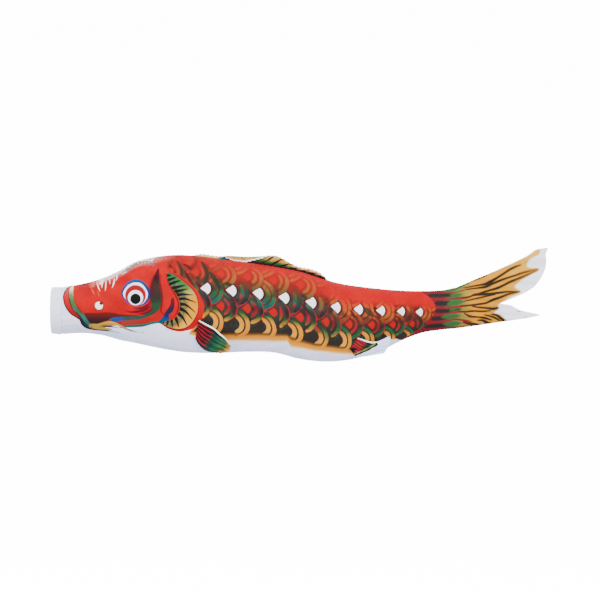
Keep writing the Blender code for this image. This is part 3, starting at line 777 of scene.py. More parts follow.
def scale_print(tree, place, x):
    """The scales: overlapping discs, each with a fan-shaped mark and two arcs on its rear."""
    along = attribute(tree, "scale_along")
    down = attribute(tree, "scale_row")
    wander = (noise(place, 0.016) - 0.5) * 0.1
    # three discs may cover a place; the one furthest forward that reaches it is on top
    first = calc("CEIL", (along - SCALE_WIDE) * 2)
    found = None
    for later in (2, 1, 0):
        column = first + later
        odd = calc("FLOORED_MODULO", column, 2.0)
        line = calc("ROUND", (down - odd) * 0.5) * 2 + odd
        line = calc("MINIMUM", line, 2 - odd)
        across = (along - column * 0.5) * (1 / SCALE_WIDE)
        drop = down - line
        reach = calc("SQRT", across * across + drop * drop) + wander
        scale = (reach, line, across, drop, column)
        if found is None:
            found = scale
        else:
            here = calc("LESS_THAN", reach, 1.0)
            found = tuple(old + here * (new - old) for old, new in zip(found, scale))
    ring, row, lean, drop, column = found
    odd = calc("FLOORED_MODULO", row, 2.0)
    low = calc("GREATER_THAN", row, 1.5)
    # a number from 0 to 1 that each scale has of its own
    chance = calc("FRACT", calc("SINE", column * 12.99 + row * 78.23) * 437.5)
    # the colours change towards the shoulder and towards the tail
    front = step(0.38, 0.3, x)
    rear = step(0.5, 0.6, x)
    blotch = noise(place, 0.022)
    level = down + (blotch - 0.5) * 0.5 + (chance - 0.5) * 0.45
    # colours from the top row to the belly: of the wide arcs, the thin arcs, the ground between them,
    # and the scales' outlines
    bands = ramp(
        level, (-3.0, RED), (-2.2, (214, 60, 50)), (-1.6, (196, 120, 64)), (-1.0, (164, 132, 70)),
        (-0.35, (96, 116, 60)), (0.1, (58, 132, 84)), (0.55, (30, 118, 104)), (0.9, (66, 40, 50)),
        (1.25, (84, 50, 50)), (1.42, (66, 120, 64)), (1.62, (176, 150, 62)), (1.8, GOLD),
        (3.0, (238, 166, 74)),
    )
    rear_bands = ramp(
        level, (-3.0, RED), (-1.0, (234, 60, 48)), (-0.4, (226, 104, 54)), (0.0, (206, 122, 58)),
        (0.35, (176, 104, 52)), (0.75, (112, 66, 46)), (1.1, (44, 104, 66)), (1.7, (50, 128, 80)),
        (2.1, GOLD), (3.0, GOLD),
    )
    upper_front = front * step(0.1, -0.6, down) * 0.8
    rear_dark = ramp(
        level, (-1.0, RED), (-0.3, (210, 48, 44)), (0.2, (150, 44, 42)), (0.9, (92, 58, 44)),
        (1.5, (66, 62, 46)),
    )
    thin = ramp(
        level, (-3.0, RED), (-2.1, (214, 70, 52)), (-1.5, (206, 124, 66)), (-0.8, (156, 126, 66)),
        (-0.1, (72, 104, 58)), (0.35, (40, 112, 90)), (0.62, (190, 50, 64)), (1.3, (204, 56, 66)),
        (1.5, (130, 110, 56)), (1.72, (242, 172, 54)), (3.0, PALE_GOLD),
    )
    dark = ramp(
        level, (-3.0, (226, 40, 42)), (-1.7, (208, 44, 42)), (-1.0, (176, 60, 46)), (-0.4, (104, 66, 46)),
        (0.1, (86, 58, 52)), (0.5, (66, 84, 68)), (0.9, (100, 52, 56)), (1.3, (66, 86, 60)),
        (1.7, (62, 56, 46)), (3.0, (52, 50, 42)),
    )
    night = ramp(noise(place, 0.011), (0.3, (66, 64, 42)), (0.5, (68, 50, 52)), (0.7, (50, 88, 60)))
    edge = ramp(
        level, (-3.0, (196, 34, 36)), (-1.0, (176, 38, 40)), (-0.2, (150, 42, 46)), (0.5, (200, 50, 60)),
        (1.0, (218, 56, 70)), (1.5, (206, 60, 62)), (1.75, (96, 60, 36)), (3.0, (60, 44, 30)),
    )

    def arc(middle, half, start):
        """A ring's share, on the disc's rear part only, with a rounded end at each side."""
        uneven = (chance - 0.5) * 0.3 * (1.15 - low)
        beyond = calc("MAXIMUM", start + uneven - lean, 0.0)
        away = ring - middle
        away = calc("SQRT", away * away + beyond * beyond)
        return step(0.02, -0.02, away - half)

    smudge = step(0.5, 0.66, noise(place, 0.017)) * (1 - low) * step(-1.2, -0.4, down)
    thin = paint(thin, (rear_bands, rear * step(1.0, 0.5, down)), ((220, 54, 48), upper_front))
    bands = paint(
        bands, (rear_bands, rear),
        ((54, 56, 46), front * step(0.6, -1.2, down) * step(0.42, 0.56, blotch)),
        ((110, 52, 44), upper_front),
        ((60, 44, 44), step(0.72, 0.8, chance) * step(1.4, 0.8, down) * 0.75),
    )
    # the scales fade into the plain red of the back
    fade = step(-2.6, -0.9, down + (blotch - 0.5) * 1.4 + front * 1.2)
    fade = fade * (0.66 + 0.34 * step(-1.1, 0.1, down + front * 0.8))
    fade = fade + rear * (step(-0.8, -0.3, down + (blotch - 0.5) * 0.3) - fade)
    plain = ramp(noise(place, 0.03), (0.3, (230, 24, 42)), (0.7, (248, 40, 48)))
    colour = paint(
        mix(dark, rear_dark, rear), (night, step(1.05, 1.75, down)),
        ((236, 74, 50), (1 - low) * step(0.62, 0.7, chance) * step(-0.2, -0.5, lean)),
        (edge, step(0.925, 0.96, ring) * (1 - low)),
        (thin, arc(0.525, 0.125 - 0.045 * odd, 0.38 - 0.12 * low)),
        (bands, arc(0.85, 0.105, 0.42 - 0.12 * low)), ((52, 42, 44), smudge * 0.6),
    )

    def fan(apex, centre, radius):
        """A mark's share: a wedge from its point at the front to its rounded rear."""
        side = lean - centre
        round_end = calc("SQRT", side * side + drop * drop) - radius
        wedge = (calc("ABSOLUTE", drop) - (lean - apex) * 0.95) * 0.7
        return calc("MAXIMUM", round_end, wedge)

    # white marks on the middle row, and red ones on the rows beside it
    white = fan(-0.36, -0.2, 0.42)
    white_row = calc("LESS_THAN", calc("ABSOLUTE", row), 0.5) * step(0.754, 0.75, x)
    red = fan(-0.2, -0.06, 0.33)
    above = calc("LESS_THAN", calc("ABSOLUTE", row + 1), 0.5) * step(0.56, 0.5, x)
    red_rows = calc("LESS_THAN", calc("ABSOLUTE", row - 1), 0.5) + above
    hem = attribute(tree, "hem") + (noise(place, 0.02) - 0.5) * 0.1
    bottom = ramp(
        hem, (-0.2, (60, 44, 30)), (0.1, (150, 104, 48)), (0.32, (242, 172, 60)), (0.72, (254, 194, 84)),
        (1.0, (246, 222, 190)), (1.25, CLOTH_WHITE),
    )
    colour = paint(
        mix(plain, colour, fade), ((50, 60, 48), step(1.3, -0.3, attribute(tree, "stroke_dark")) * 0.85),
        ((92, 30, 40), step(1.1, -0.4, attribute(tree, "stroke_maroon")) * 0.85),
        ((74, 26, 34), white_row * step(0.12, 0.07, white)),
        ((252, 250, 255), white_row * step(0.02, -0.02, white)),
        ((234, 36, 42), red_rows * step(0.03, -0.03, red)),
    )
    bottom = paint(bottom, (bare_cloth(place), step(0.98, 1.25, hem)))
    return mix(
        colour, bottom,
        step(-0.25, 0.06, hem) * (1 - low * arc(0.85, 0.105, 0.2) * step(0.45, 0.25, hem)),
    )


def print_group():
    """Node group that gives the colour of the print, shared by every skin."""
    tree = bpy.data.node_groups.new("carp_print", "ShaderNodeTree")
    tree.interface.new_socket("Color", in_out="OUTPUT", socket_type="NodeSocketColor")
    place = attribute(tree, "flat_place", True)
    seen = attribute(tree, "side_view", True)
    x, _, z = split(seen)

    def on(name, grow=0.0, soft=0.35):
        return step(grow + soft, grow - soft, attribute(tree, name))

    def disc(cx, cz, radius, soft=0.0003):
        dx, dz = x - cx, z - cz
        reach = calc("SQRT", dx * dx + dz * dz)
        return step(radius + soft, radius - soft, reach)

    red = ramp(noise(place, 0.035), (0.3, (228, 20, 40)), (0.5, (240, 28, 42)), (0.7, (252, 44, 50)))
    blush = ramp(noise(place, 0.004, 1.0), (0.3, (212, 84, 80)), (0.7, (240, 164, 152)))
    pale = ramp(noise(place, 0.005, 3.0), (0.36, (200, 168, 162)), (0.62, (246, 234, 236)))
    ragged = attribute(tree, "crown") + (noise(place, 0.009, 3.0) - 0.5) * 9.0
    lip_green = ramp(
        z, (-0.03, (60, 120, 110)), (-0.014, (64, 156, 140)), (-0.004, (84, 128, 92)),
        (0.02, (96, 150, 84)), (0.034, (150, 180, 120)), (0.046, (226, 222, 196)),
    )
    lip_red = ramp(z, (-0.016, (200, 40, 36)), (0.02, (232, 60, 62)), (0.046, (226, 110, 110)))
    maroon = ramp(
        z, (-0.026, (36, 52, 40)), (-0.019, (88, 36, 40)), (-0.01, (118, 50, 44)),
        (-0.004, (150, 46, 42)),
    )
    under = ramp(x, (0.137, (200, 84, 76)), (0.19, (214, 62, 56)), (0.22, (236, 46, 38)))
    sweep = ramp(
        z + (noise(place, 0.008) - 0.5) * 0.02, (-0.018, (84, 104, 92)), (-0.008, (62, 92, 74)),
        (0.01, (56, 100, 62)), (0.026, (64, 60, 50)), (0.05, (86, 54, 44)), (0.066, (60, 26, 40)),
        (0.084, (120, 24, 40)),
    )
    shadow = on("sweep", 3.0, 3.6) * step(-0.006, 0.012, z) * step(0.08, 0.06, z)
    navy = ramp(
        z, (-0.026, (34, 110, 116)), (-0.018, (40, 96, 160)), (-0.01, (44, 52, 110)),
        (0.004, (70, 40, 66)), (0.024, (150, 30, 40)),
    )
    frill = ramp(
        z + x * -0.35, (-0.13, PALE_GOLD), (-0.112, (248, 190, 60)), (-0.08, (248, 180, 52)),
        (-0.062, (200, 180, 100)), (-0.046, (100, 160, 84)), (-0.02, (64, 150, 84)), (0.0, (52, 120, 72)),
    )
    root = ramp(noise(place, 0.005), (0.35, (78, 106, 66)), (0.65, (148, 152, 106)))
    eye_blue = ramp(
        x, (0.14, (60, 50, 130)), (0.15, (56, 106, 190)), (0.18, (44, 110, 170)), (0.197, (50, 44, 140)),
    )
    barbel = ramp(
        x, (0.078, (206, 174, 90)), (0.1, (218, 178, 74)), (0.128, (222, 186, 90)),
        (0.15, (214, 150, 90)), (0.175, (120, 110, 70)),
    )
    jaw = ramp(
        z, (-0.042, (110, 104, 48)), (-0.037, (180, 146, 58)), (-0.03, (204, 158, 66)),
        (-0.024, (226, 180, 80)),
    )
    level = x + (noise(place, 0.009) - 0.5) * 0.022
    stalk = ramp(
        level, (0.74, (176, 40, 52)), (0.778, (150, 52, 62)), (0.796, (120, 96, 70)),
        (0.812, (128, 150, 84)), (0.828, (180, 160, 74)), (0.846, (238, 180, 50)), (0.9, (248, 186, 50)),
        (0.96, (250, 206, 96)),
    )
    streak = ramp(
        level, (0.81, (150, 44, 40)), (0.838, (110, 60, 36)), (0.856, (70, 52, 38)), (0.9, (58, 54, 30)),
        (0.935, (104, 82, 34)), (0.972, (196, 138, 54)),
    )
    end = ramp(noise(place, 0.03), (0.3, (246, 246, 252)), (0.7, (255, 255, 255)))
    stalk = paint(
        stalk, ((58, 54, 50), on("ovals", 0.7, 1.8)), ((76, 134, 74), on("tail_green", 0.0, 1.6)),
        ((70, 50, 44), on("tail_shade", 0.0, 2.5) * 0.85),
        ((190, 52, 62), on("tail_pink", 0.0, 0.5) * step(0.87, 0.83, x)),
        ((196, 140, 62), on("streaks", 1.8, 1.6) * step(0.84, 0.87, x) * 0.8),
        (streak, on("streaks", 0.6, 0.6)),
    )
    stalk = paint(
        mix(end, stalk, on("tail_gold", 0.0, 2.2)), ((150, 70, 66), on("tail_marks", 0.0, 0.7) * 0.8),
    )
    colour = paint(
        scale_print(tree, place, x), (bare_cloth(place), on("head")), (red, on("face", 0.7)),
        # crown and brow
        (blush, on("crown_blush", -3.0, 4.0) * step(0.262, 0.19, x) * 0.85),
        (pale, step(2.2, -3.0, ragged)),
        ((146, 124, 118), on("crown_hatch", 0.5, 0.8) * step(0.36, 0.5, noise(place, 0.004))),
        ((170, 44, 44), on("brow_dark", 0.0, 0.6) * 0.8),
        ((248, 130, 110), on("brow_salmon", 0.0, 0.7) * 0.9), ((252, 236, 226), on("brow", 0.0, 0.5)),
        # lips and cheek
        (lip_green, on("lip_green")), (lip_red, on("lip")), (maroon, on("maroon", 0.0, 0.6)),
        (under, on("face") * step(-0.012, -0.018, z) * step(0.138, 0.142, x) * step(0.22, 0.205, x)),
        ((120, 40, 34), shadow * 0.8), (sweep, on("sweep", 0.2, 0.8)),
        ((40, 40, 46), on("sweep", 0.0, 0.5) * step(0.208, 0.2, x) * step(0.0, 0.02, z) * 0.35),
        (TEAL_INK, on("teal", 0.0, 0.5)), ((58, 106, 176), on("blue_patch", 0.0, 1.0)),
        (navy, on("navy", 0.0, 0.6)),
        # frill behind the gill
        (frill, on("frill")), (root, on("frill") * disc(0.222, 0.012, 0.0515, 0.006) * 0.9),
        ((30, 32, 28), on("teeth", 0.35, 0.6) * on("frill")), ((150, 24, 30), on("frill_edge")),
        ((112, 30, 46), on("cheek_lines", 0.1, 0.8) * 0.9),
        # eye: ring, white, red iris with its outline, inner white with its outline, pupil
        (eye_blue, on("eye", 0.5, 0.4)), ((246, 240, 252), on("eye_white")),
        ((84, 40, 96), disc(0.168, 0.03, 0.0212) * on("eye_white", 0.4) * 0.8),
        ((214, 34, 50), disc(0.168, 0.03, 0.0202) * on("eye_white", 0.4)),
        ((84, 40, 96), disc(0.168, 0.0256, 0.0158) * 0.6), ((250, 244, 252), disc(0.168, 0.0256, 0.0152)),
        ((22, 32, 32), disc(0.168, 0.0232, 0.0107)),
        # nostril, with a notch
        ((110, 30, 30), disc(0.0952, 0.0098, 0.0094) * on("face")),
        ((250, 240, 232), disc(0.095, 0.0098, 0.008)), ((150, 40, 36), disc(0.0992, 0.0143, 0.0034)),
        # jaw and barbel, and the tail
        (jaw, on("barbel_fill", 0.0, 0.8)), (barbel, on("barbel")), ((96, 62, 36), on("barbel_line")),
        ((44, 40, 40), on("lip_lines")), (stalk, on("stalk_end", 0.0, 0.5)),
    )
    out = tree.nodes.new("NodeGroupOutput")
    plug(tree, out.inputs[0], colour)
    return tree


def new_material(name):
    material = bpy.data.materials.new(name)
    material.use_nodes = True
    return material, material.node_tree, material.node_tree.nodes["Principled BSDF"]


def emboss(tree, shader, height, strength, depth):
    """Lets a height bend the light on a surface."""
    bump = tree.nodes.new("ShaderNodeBump")
    bump.inputs["Strength"].default_value = strength
    bump.inputs["Distance"].default_value = depth
    plug(tree, bump.inputs["Height"], height)
    plug(tree, shader.inputs["Normal"], Ink(bump.outputs["Normal"]))


def surface(name, colour_from, roughness=0.62, weave=0.00045):
    """A cloth material; colour_from adds nodes to its tree and gives the colour."""
    material, tree, shader = new_material(name)
    place = attribute(tree, "flat_place", True)
    x, y, _ = split(place)
    turn = 2 * math.pi / weave
    threads = calc("SINE", x * turn) * calc("SINE", y * turn)
    shade = noise(place, 0.006, 3.0)
    plug(tree, shader.inputs["Base Color"], colour_from(tree, place))
    plug(tree, shader.inputs["Roughness"], roughness + (shade - 0.5) * 0.16)
    shader.inputs["Sheen Weight"].default_value = 0.02
    shader.inputs["Sheen Roughness"].default_value = 0.4
    shader.inputs["Specular IOR Level"].default_value = 0.06
    emboss(tree, shader, threads * 0.35 + shade * 2.0, 0.35, 0.0002)
    return material


def printed(group, pale):
    """Colour of the print: on the outside, or paler where it shows through to the inside."""
    def colour(tree, place):
        node = tree.nodes.new("ShaderNodeGroup")
        node.node_tree = group
        shown = Ink(node.outputs[0])
        grain = ramp(noise(place, 0.0016, 2.0), (0.35, (222, 222, 222)), (0.65, (255, 255, 255)))
        blend = tree.nodes.new("ShaderNodeMix")
        blend.data_type = "RGBA"
        blend.blend_type = "MULTIPLY"
        blend.inputs[0].default_value = 0.5
        plug(tree, blend.inputs[6], mix(shown, (250, 248, 250), pale))
        plug(tree, blend.inputs[7], grain)
        return Ink(blend.outputs[2])
    return colour


# ---------------------------------------------------------------- meshes

def store(mesh, key, values):
    """Puts a value, or a vector of three, on each vertex of a grid."""
    vector = values.ndim == 3
    stored = mesh.attributes.new(key, "FLOAT_VECTOR" if vector else "FLOAT", "POINT")
    flat = np.ascontiguousarray(values, np.float32).ravel()
    stored.data.foreach_set("vector" if vector else "value", flat)


def grid_mesh(name, points, flip, attributes):
    """Mesh of a grid of points, with attributes on its vertices."""
    long, wide = points.shape[:2]
    index = np.arange(long * wide).reshape(long, wide)
    faces = np.stack([index[:-1, :-1], index[:-1, 1:], index[1:, 1:], index[1:, :-1]], -1)
    faces = faces.reshape(-1, 4)
    if flip:
        faces = faces[:, ::-1]
    mesh = bpy.data.meshes.new(name)
    mesh.from_pydata(points.reshape(-1, 3).tolist(), [], faces.tolist())
    for key, values in attributes.items():
        store(mesh, key, values)
    mesh.shade_smooth()
    ends = np.empty(len(mesh.edges) * 2, np.int32)
    mesh.edges.foreach_get("vertices", ends)
    row = ends.reshape(-1, 2) // wide
    sharp = (row[:, 0] == row[:, 1]) & ((row[:, 0] == 0) | (row[:, 0] == long - 1))
    mesh.attributes.new("sharp_edge", "BOOLEAN", "EDGE").data.foreach_set("value", sharp)
    return mesh


def link(name, mesh):
    obj = bpy.data.objects.new(name, mesh)
    bpy.context.scene.collection.objects.link(obj)
    return obj


def thicken(obj, depth, offset=-1.0):
    solid = obj.modifiers.new("thickness", "SOLIDIFY")
    solid.thickness = depth
    solid.offset = offset
    solid.material_offset = 1
    solid.material_offset_rim = 1


def build_skins(outside, inside):
    """Both sides of the tube, each cut into four skins."""
    x, z, y, k = tube()
    height = cloth_height(x, z)
    seen_x, seen_z = as_drawn(x, z, y)
    along, down = scale_place(seen_x, height)
    marks = {
        name: to_shape(seen_x * 1000, seen_z * 1000, shapes) for name, shapes in LAYERS.items()
    }
    marks["scale_along"], marks["scale_row"] = along, down
    marks["hem"] = hem_place(seen_x, height)
    plain = np.stack([x, y, z], -1)
    du, dk = np.gradient(plain, axis=0), np.gradient(plain, axis=1)
    normal = np.cross(dk, du)
    normal /= np.linalg.norm(normal, axis=-1, keepdims=True)
    # the normals point outwards
    normal *= np.sign((normal * np.stack([0 * x, y, z - z.mean()], -1)).sum(-1).mean())
    for side, word in ((-1, "left"), (1, "right")):
        out, swing = folds(x, z, k, side)
        points = plain + normal * out[..., None]
        points[..., 1] = np.maximum(points[..., 1], 0.0)
        points[..., 1] = side * points[..., 1] + swing
        marks["flat_place"] = np.stack([x, height, 0 * x + side * 0.5], -1)
        marks["side_view"] = np.stack([seen_x, 0 * x, seen_z], -1)
        start = 0
        for name, end, first, second, bend_from, bend_to, nodes in SKINS:
            stop = len(x) if end is None else int(np.argmin(abs(x[:, 0] - end))) + 1
            part = slice(start, stop)
            part_marks = {key: values[part] for key, values in marks.items()}
            mesh = grid_mesh(f"{name}_{word}", points[part], side > 0, part_marks)
            mesh.materials.append(outside)
            mesh.materials.append(inside)
            skin = link(f"{name}_{word}", mesh)
            thicken(skin, CLOTH)
            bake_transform(skin)
            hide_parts(*[f"{node}_{word}" for node in nodes])
            start = stop - 1


def build_fin(name, points, flat_points, marks, look, replaced):
    """A fin's cloth, from a grid of points and the same grid laid flat."""
    flat = np.concatenate([flat_points, 0 * flat_points[..., :1]], -1)
    mesh = grid_mesh(name, points, False, {"flat_place": flat, **marks})
    mesh.materials.append(look)
    fin = link(name, mesh)
    thicken(fin, FIN_CLOTH, 0.0)
    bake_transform(fin)
    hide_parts(replaced)


def build_dorsal(look):
    """Back fin: its middle folds over to the left, and its rear stands up in ripples."""
    x = np.linspace(DORSAL[0][0], DORSAL[-1][0], round(272 / COARSE))[:, None]
    share = np.linspace(0, 1, round(36 / COARSE))
    top, hang = curve(DORSAL, x, 1), curve(DORSAL, x, 2)
    radius = 0.0016
    turn = np.pi * ease(0.334, 0.352, x) * (1 - ease(0.418, 0.452, x))
    rise = np.maximum(top - radius * np.sin(np.minimum(turn, np.pi / 2)), 0.0002)
    length = rise + radius * turn + hang
    s = length * share
    bent = np.clip((s - rise) / radius, 0, turn)
    after = np.maximum(s - rise - radius * turn, 0)
    y = -radius * (1 - np.cos(bent)) - after * np.sin(turn)
    up = np.minimum(s, rise) + radius * np.sin(bent) + after * np.cos(turn)
    wave = 0.003 * np.sin(2 * np.pi * x / 0.0195 + 0.6) * ease(0.445, 0.48, x)
    wave = wave + 0.0012 * np.sin(2 * np.pi * x / 0.012) * (1 - ease(0.32, 0.35, x))
    wave = wave + 0.0011 * np.sin(2 * np.pi * x / 0.031 + 1.0) * ease(0.35, 0.38, x)
    y = y + wave * share**1.3
    z = curve(OUTLINE, x) - 0.0004 + up + 0.0007 * np.sin(2 * np.pi * x / 0.008) * share**3
    points = np.stack([x + 0 * z, y, z], -1)
    flat = np.stack([x + 0 * s, s], -1)
    marks = {"fin_up": 0 * z + share, "fin_x": x + 0 * z}
    build_fin("dorsal_cloth", points, flat, marks, look,
              "dorsal_fin")


def build_paired(kind, look):
    """A paired fin on each side, from its outline as (along the root, away from the root)."""
    root, lean, upper, tip, lower = PAIRED[kind]
    q = np.linspace(0, 1, round(84 / COARSE))[:, None]
    p = np.linspace(0, 1, round(60 / COARSE))
    start = np.stack([p * lower[0][0], 0 * p], -1)
    flat = coons(chain_at(upper, q[1:, 0]), chain_at(lower, q[1:, 0]), start, chain_at(tip, p), q[1:])
    flat = np.concatenate([start[None], flat], 0)
    top, bottom = Vector(root[0]), Vector(root[1])
    down = np.array((bottom - top).normalized())
    back = np.array((math.cos(math.radians(lean)), -math.sin(math.radians(lean)), 0.0))
    out = np.cross(back, down)
    out *= -np.sign(out[1]) / np.linalg.norm(out)
    free = ease(0.0, 0.3, q)
    p_grid = p + 0 * q
    if kind == "pectoral":
        puff = 0.003 * np.sin(np.pi * p_grid) - 0.0012 * np.cos(p_grid * 24 + q * 3)
        puff = puff + 0.0018 * np.sin(q * 9 + p_grid * 3) * (1 - p_grid)
    else:
        puff = 0.0016 * np.sin(np.pi * p_grid) - 0.0007 * np.cos(p_grid * 26 + q * 4)
    points = np.array(top) + flat[..., :1] * down + flat[..., 1:] * back
    marks = {"fin_across": p_grid, "fin_along": q + 0 * p}
    if kind == "pelvic":
        face = to_shape(points[..., 0] * 1000, points[..., 2] * 1000, PELVIC_FACE)
        puff = puff + 0.002 * ease(0.4, -1.8, face) - 0.0008 * np.cos(face * 0.9) * ease(1, 3, face)
        marks |= {"fin_face": face, "fin_down": flat[..., 0], "fin_back": flat[..., 1]}
    points = points + out * (puff * free)[..., None]
    for side, word in ((-1, "left"), (1, "right")):
        placed = points * (1, -side, 1)
        hinge = (top + bottom) / 2
        hinge.y *= -side
        build_fin(f"{kind}_cloth_{word}", placed, flat[..., ::-1], marks, look,
                  f"{kind}_fin_{word}")


def dorsal_colour(tree, place):
    """Green and gold with dark slanted rays, a cream front strip and a white hem."""
    up = attribute(tree, "fin_up")
    x = attribute(tree, "fin_x")
    blotch = noise(place, 0.008)
    level = up + (blotch - 0.5) * 0.25
    colour = ramp(
        level, (0.0, (54, 22, 30)), (0.14, (70, 30, 34)), (0.24, (56, 92, 50)), (0.42, (96, 142, 66)),
        (0.56, (206, 164, 78)), (0.85, (232, 190, 104)), (1.0, (240, 214, 150)),
    )
    strip = ramp(
        level, (0.0, (214, 96, 46)), (0.22, (236, 170, 90)), (0.4, (240, 214, 150)),
        (1.0, (238, 206, 128)),
    )
    slant = x * (1 / 0.0185) - up * 1.7 + (noise(place, 0.015) - 0.5) * 0.5
    ray = calc("ABSOLUTE", calc("FRACT", slant) - 0.5)
    dark_ray = step(0.05, -0.05, ray - 0.21 + up * 0.1) * (0.35 + 0.65 * step(0.415, 0.44, x))
    dark_ray = dark_ray * step(0.345, 0.37, x)
    rear = ramp(
        level + (ray - 0.25) * 0.5, (0.4, (46, 28, 24)), (0.62, (206, 150, 96)), (0.85, (250, 216, 178)),
    )
    edge = up + step(0.352, 0.37, x) * step(0.45, 0.43, x) * 0.07
    return paint(
        colour, (strip, step(0.352, 0.336, x)),
        ((48, 116, 140), step(0.332, 0.339, x) * step(0.356, 0.35, x) * step(0.75, 0.5, up)),
        ((34, 28, 26), dark_ray), (rear, step(0.476, 0.49, x)),
        ((70, 48, 30), step(0.62, 0.7, noise(place, 0.006)) * step(0.35, 0.33, x)),
        ((40, 30, 28), step(0.541, 0.548, x)),
        ((255, 250, 244), step(0.94, 0.97, edge) * step(0.545, 0.535, x)),
    )


def pectoral_colour(tree, place):
    """Dark red rays at the root, green towards the tip, and a white front edge."""
    across, along = attribute(tree, "fin_across"), attribute(tree, "fin_along")
    level = along + (noise(place, 0.01) - 0.5) * 0.22
    colour = ramp(
        level, (0.0, (66, 26, 36)), (0.34, (56, 34, 42)), (0.5, (38, 82, 66)), (0.7, (58, 132, 88)),
        (0.84, (96, 134, 76)), (0.92, (206, 150, 76)), (1.0, (226, 176, 96)),
    )
    wobble = (noise(place, 0.02) - 0.5) * 0.9
    ray = calc("ABSOLUTE", calc("FRACT", across * 6.5 + along * 0.5 + wobble) - 0.5)
    streak = step(0.36, 0.44, ray) * step(0.4, 0.55, level) * step(0.97, 0.85, level)
    return paint(
        colour, ((206, 44, 62), step(0.24, 0.14, ray) * step(0.5, 0.38, level)),
        ((28, 40, 40), streak * 0.9),
        ((34, 34, 40), step(0.16, 0.1, across) * step(0.25, 0.4, along) * 0.8),
        ((34, 36, 38), step(0.95, 0.975, across)),
        ((252, 248, 250), step(0.055, 0.04, across + step(0.93, 1.0, along) * 0.02)),
    )


def pelvic_colour(tree, place):
    """Red rays and a pale green line on the fin's face, with bare cloth around it, darkened in bluish
    grey blotches as painted shade.
    """
    face = attribute(tree, "fin_face")
    deep, away = attribute(tree, "fin_down"), attribute(tree, "fin_back")
    level = away + (noise(place, 0.006) - 0.5) * 0.01
    colour = ramp(
        level, (0.0, (128, 40, 46)), (0.018, (96, 44, 44)), (0.026, (50, 60, 40)), (0.034, (30, 66, 58)),
    )
    wobble = (noise(place, 0.012) - 0.5) * 0.6
    ray = calc("ABSOLUTE", calc("FRACT", (deep - away * 0.5) * (1 / 0.0056) + wobble) - 0.5)
    streak = step(1.5, 0.7, calc("ABSOLUTE", face + 4.9)) * step(0.012, 0.018, away)
    # the bare white reverse beyond the fold, with darker bluish grey blotches that are painted shade
    back = ramp(noise(place, 0.014), (0.3, (206, 216, 240)), (0.7, (240, 244, 254)))
    return paint(
        colour, ((212, 62, 76), step(0.38, 0.24, ray) * step(0.028, 0.018, level)),
        ((20, 52, 60), step(-3.6, -2.2, face) * step(0.01, 0.02, away)),
        ((180, 192, 96), streak * step(0.012, 0.016, deep) * 0.9),
        ((30, 24, 30), step(0.024, 0.027, deep) * step(0.016, 0.01, away)),
        ((252, 248, 246), step(0.085, 0.055, attribute(tree, "fin_across"))),
        (back, step(-0.2, 0.2, face)),
    )


def build_collar(look, holes):
    """White cloth hem, rolled inwards over the mouth's hoop, with a hole for each eyelet."""
    roll = (0.00335, 0.04365)
    radius = 0.0027
    arc = np.linspace(-0.5, 0.5, 17) * np.pi
    path = [(x, LINING_RADIUS) for x in np.linspace(0.02, 0.0062, round(22 / COARSE))]
    path += [(0.0052, 0.04475), (0.0044, 0.044)]
    path += [
        (roll[0] - radius * math.cos(a), roll[1] + 0.0001 + radius * math.sin(a)) for a in arc[3:]
    ]
    path += [(0.0046, 0.0465)]
    path += [(x, HEM_RADIUS) for x in np.linspace(0.0058, 0.0222, round(28 / COARSE))]
    path = np.array(path)
    turns = round(480 / COARSE)
    angle = np.linspace(0, 2 * np.pi, turns, endpoint=False)
    x, r = path[:, :1] + 0 * angle, path[:, 1:] + 0 * angle
    outer = np.arange(len(path))[:, None] > len(path) * 0.5
    gather = 0.00016 * np.sin(angle * 46 + 2 * np.sin(angle * 5)) * ease(0.008, 0.014, x)
    gather = gather + 0.00012 * np.sin(angle * 17 + x * 300)
    r = r + np.where(outer, gather, gather * 0.4)
    x = x + np.where(outer, 0.0, 0.0003) * np.sin(angle * 23) * ease(0.012, 0.02, x)
    points = np.stack([x, r * np.sin(angle), r * np.cos(angle)], -1)
    verts = points.reshape(-1, 3)
    index = np.arange(len(verts)).reshape(len(path), turns)
    nxt = np.roll(index, -1, axis=1)
    faces = np.stack([index[:-1], nxt[:-1], nxt[1:], index[1:]], -1).reshape(-1, 4)
    middle = verts[faces].mean(1)
    keep = np.ones(len(faces), bool)
    for node in holes:
        low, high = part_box(node)
        centre = np.array((low + high) / 2)
        axis = centre * (0, 1, 1) / np.linalg.norm(centre[1:])
        away = middle - centre * (1, 0, 0)
        along = away @ axis
        off = np.linalg.norm(away - along[:, None] * axis, axis=1)
        keep &= (off > EYELET_HOLE) | (along < 0)
    mesh = bpy.data.meshes.new("collar_hem")
    mesh.from_pydata(verts.tolist(), [], faces[keep].tolist())
    flat = np.stack([x + 0 * angle, HEM_RADIUS * angle + 0 * x, 0.5 + 0 * x], -1)
    store(mesh, "flat_place", flat)
    mesh.shade_smooth()
    mesh.materials.append(look)
    hem = link("collar_hem", mesh)
    thicken(hem, HEM_CLOTH, 0.0)
    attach(hem, "head")
    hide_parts("mouth_collar")


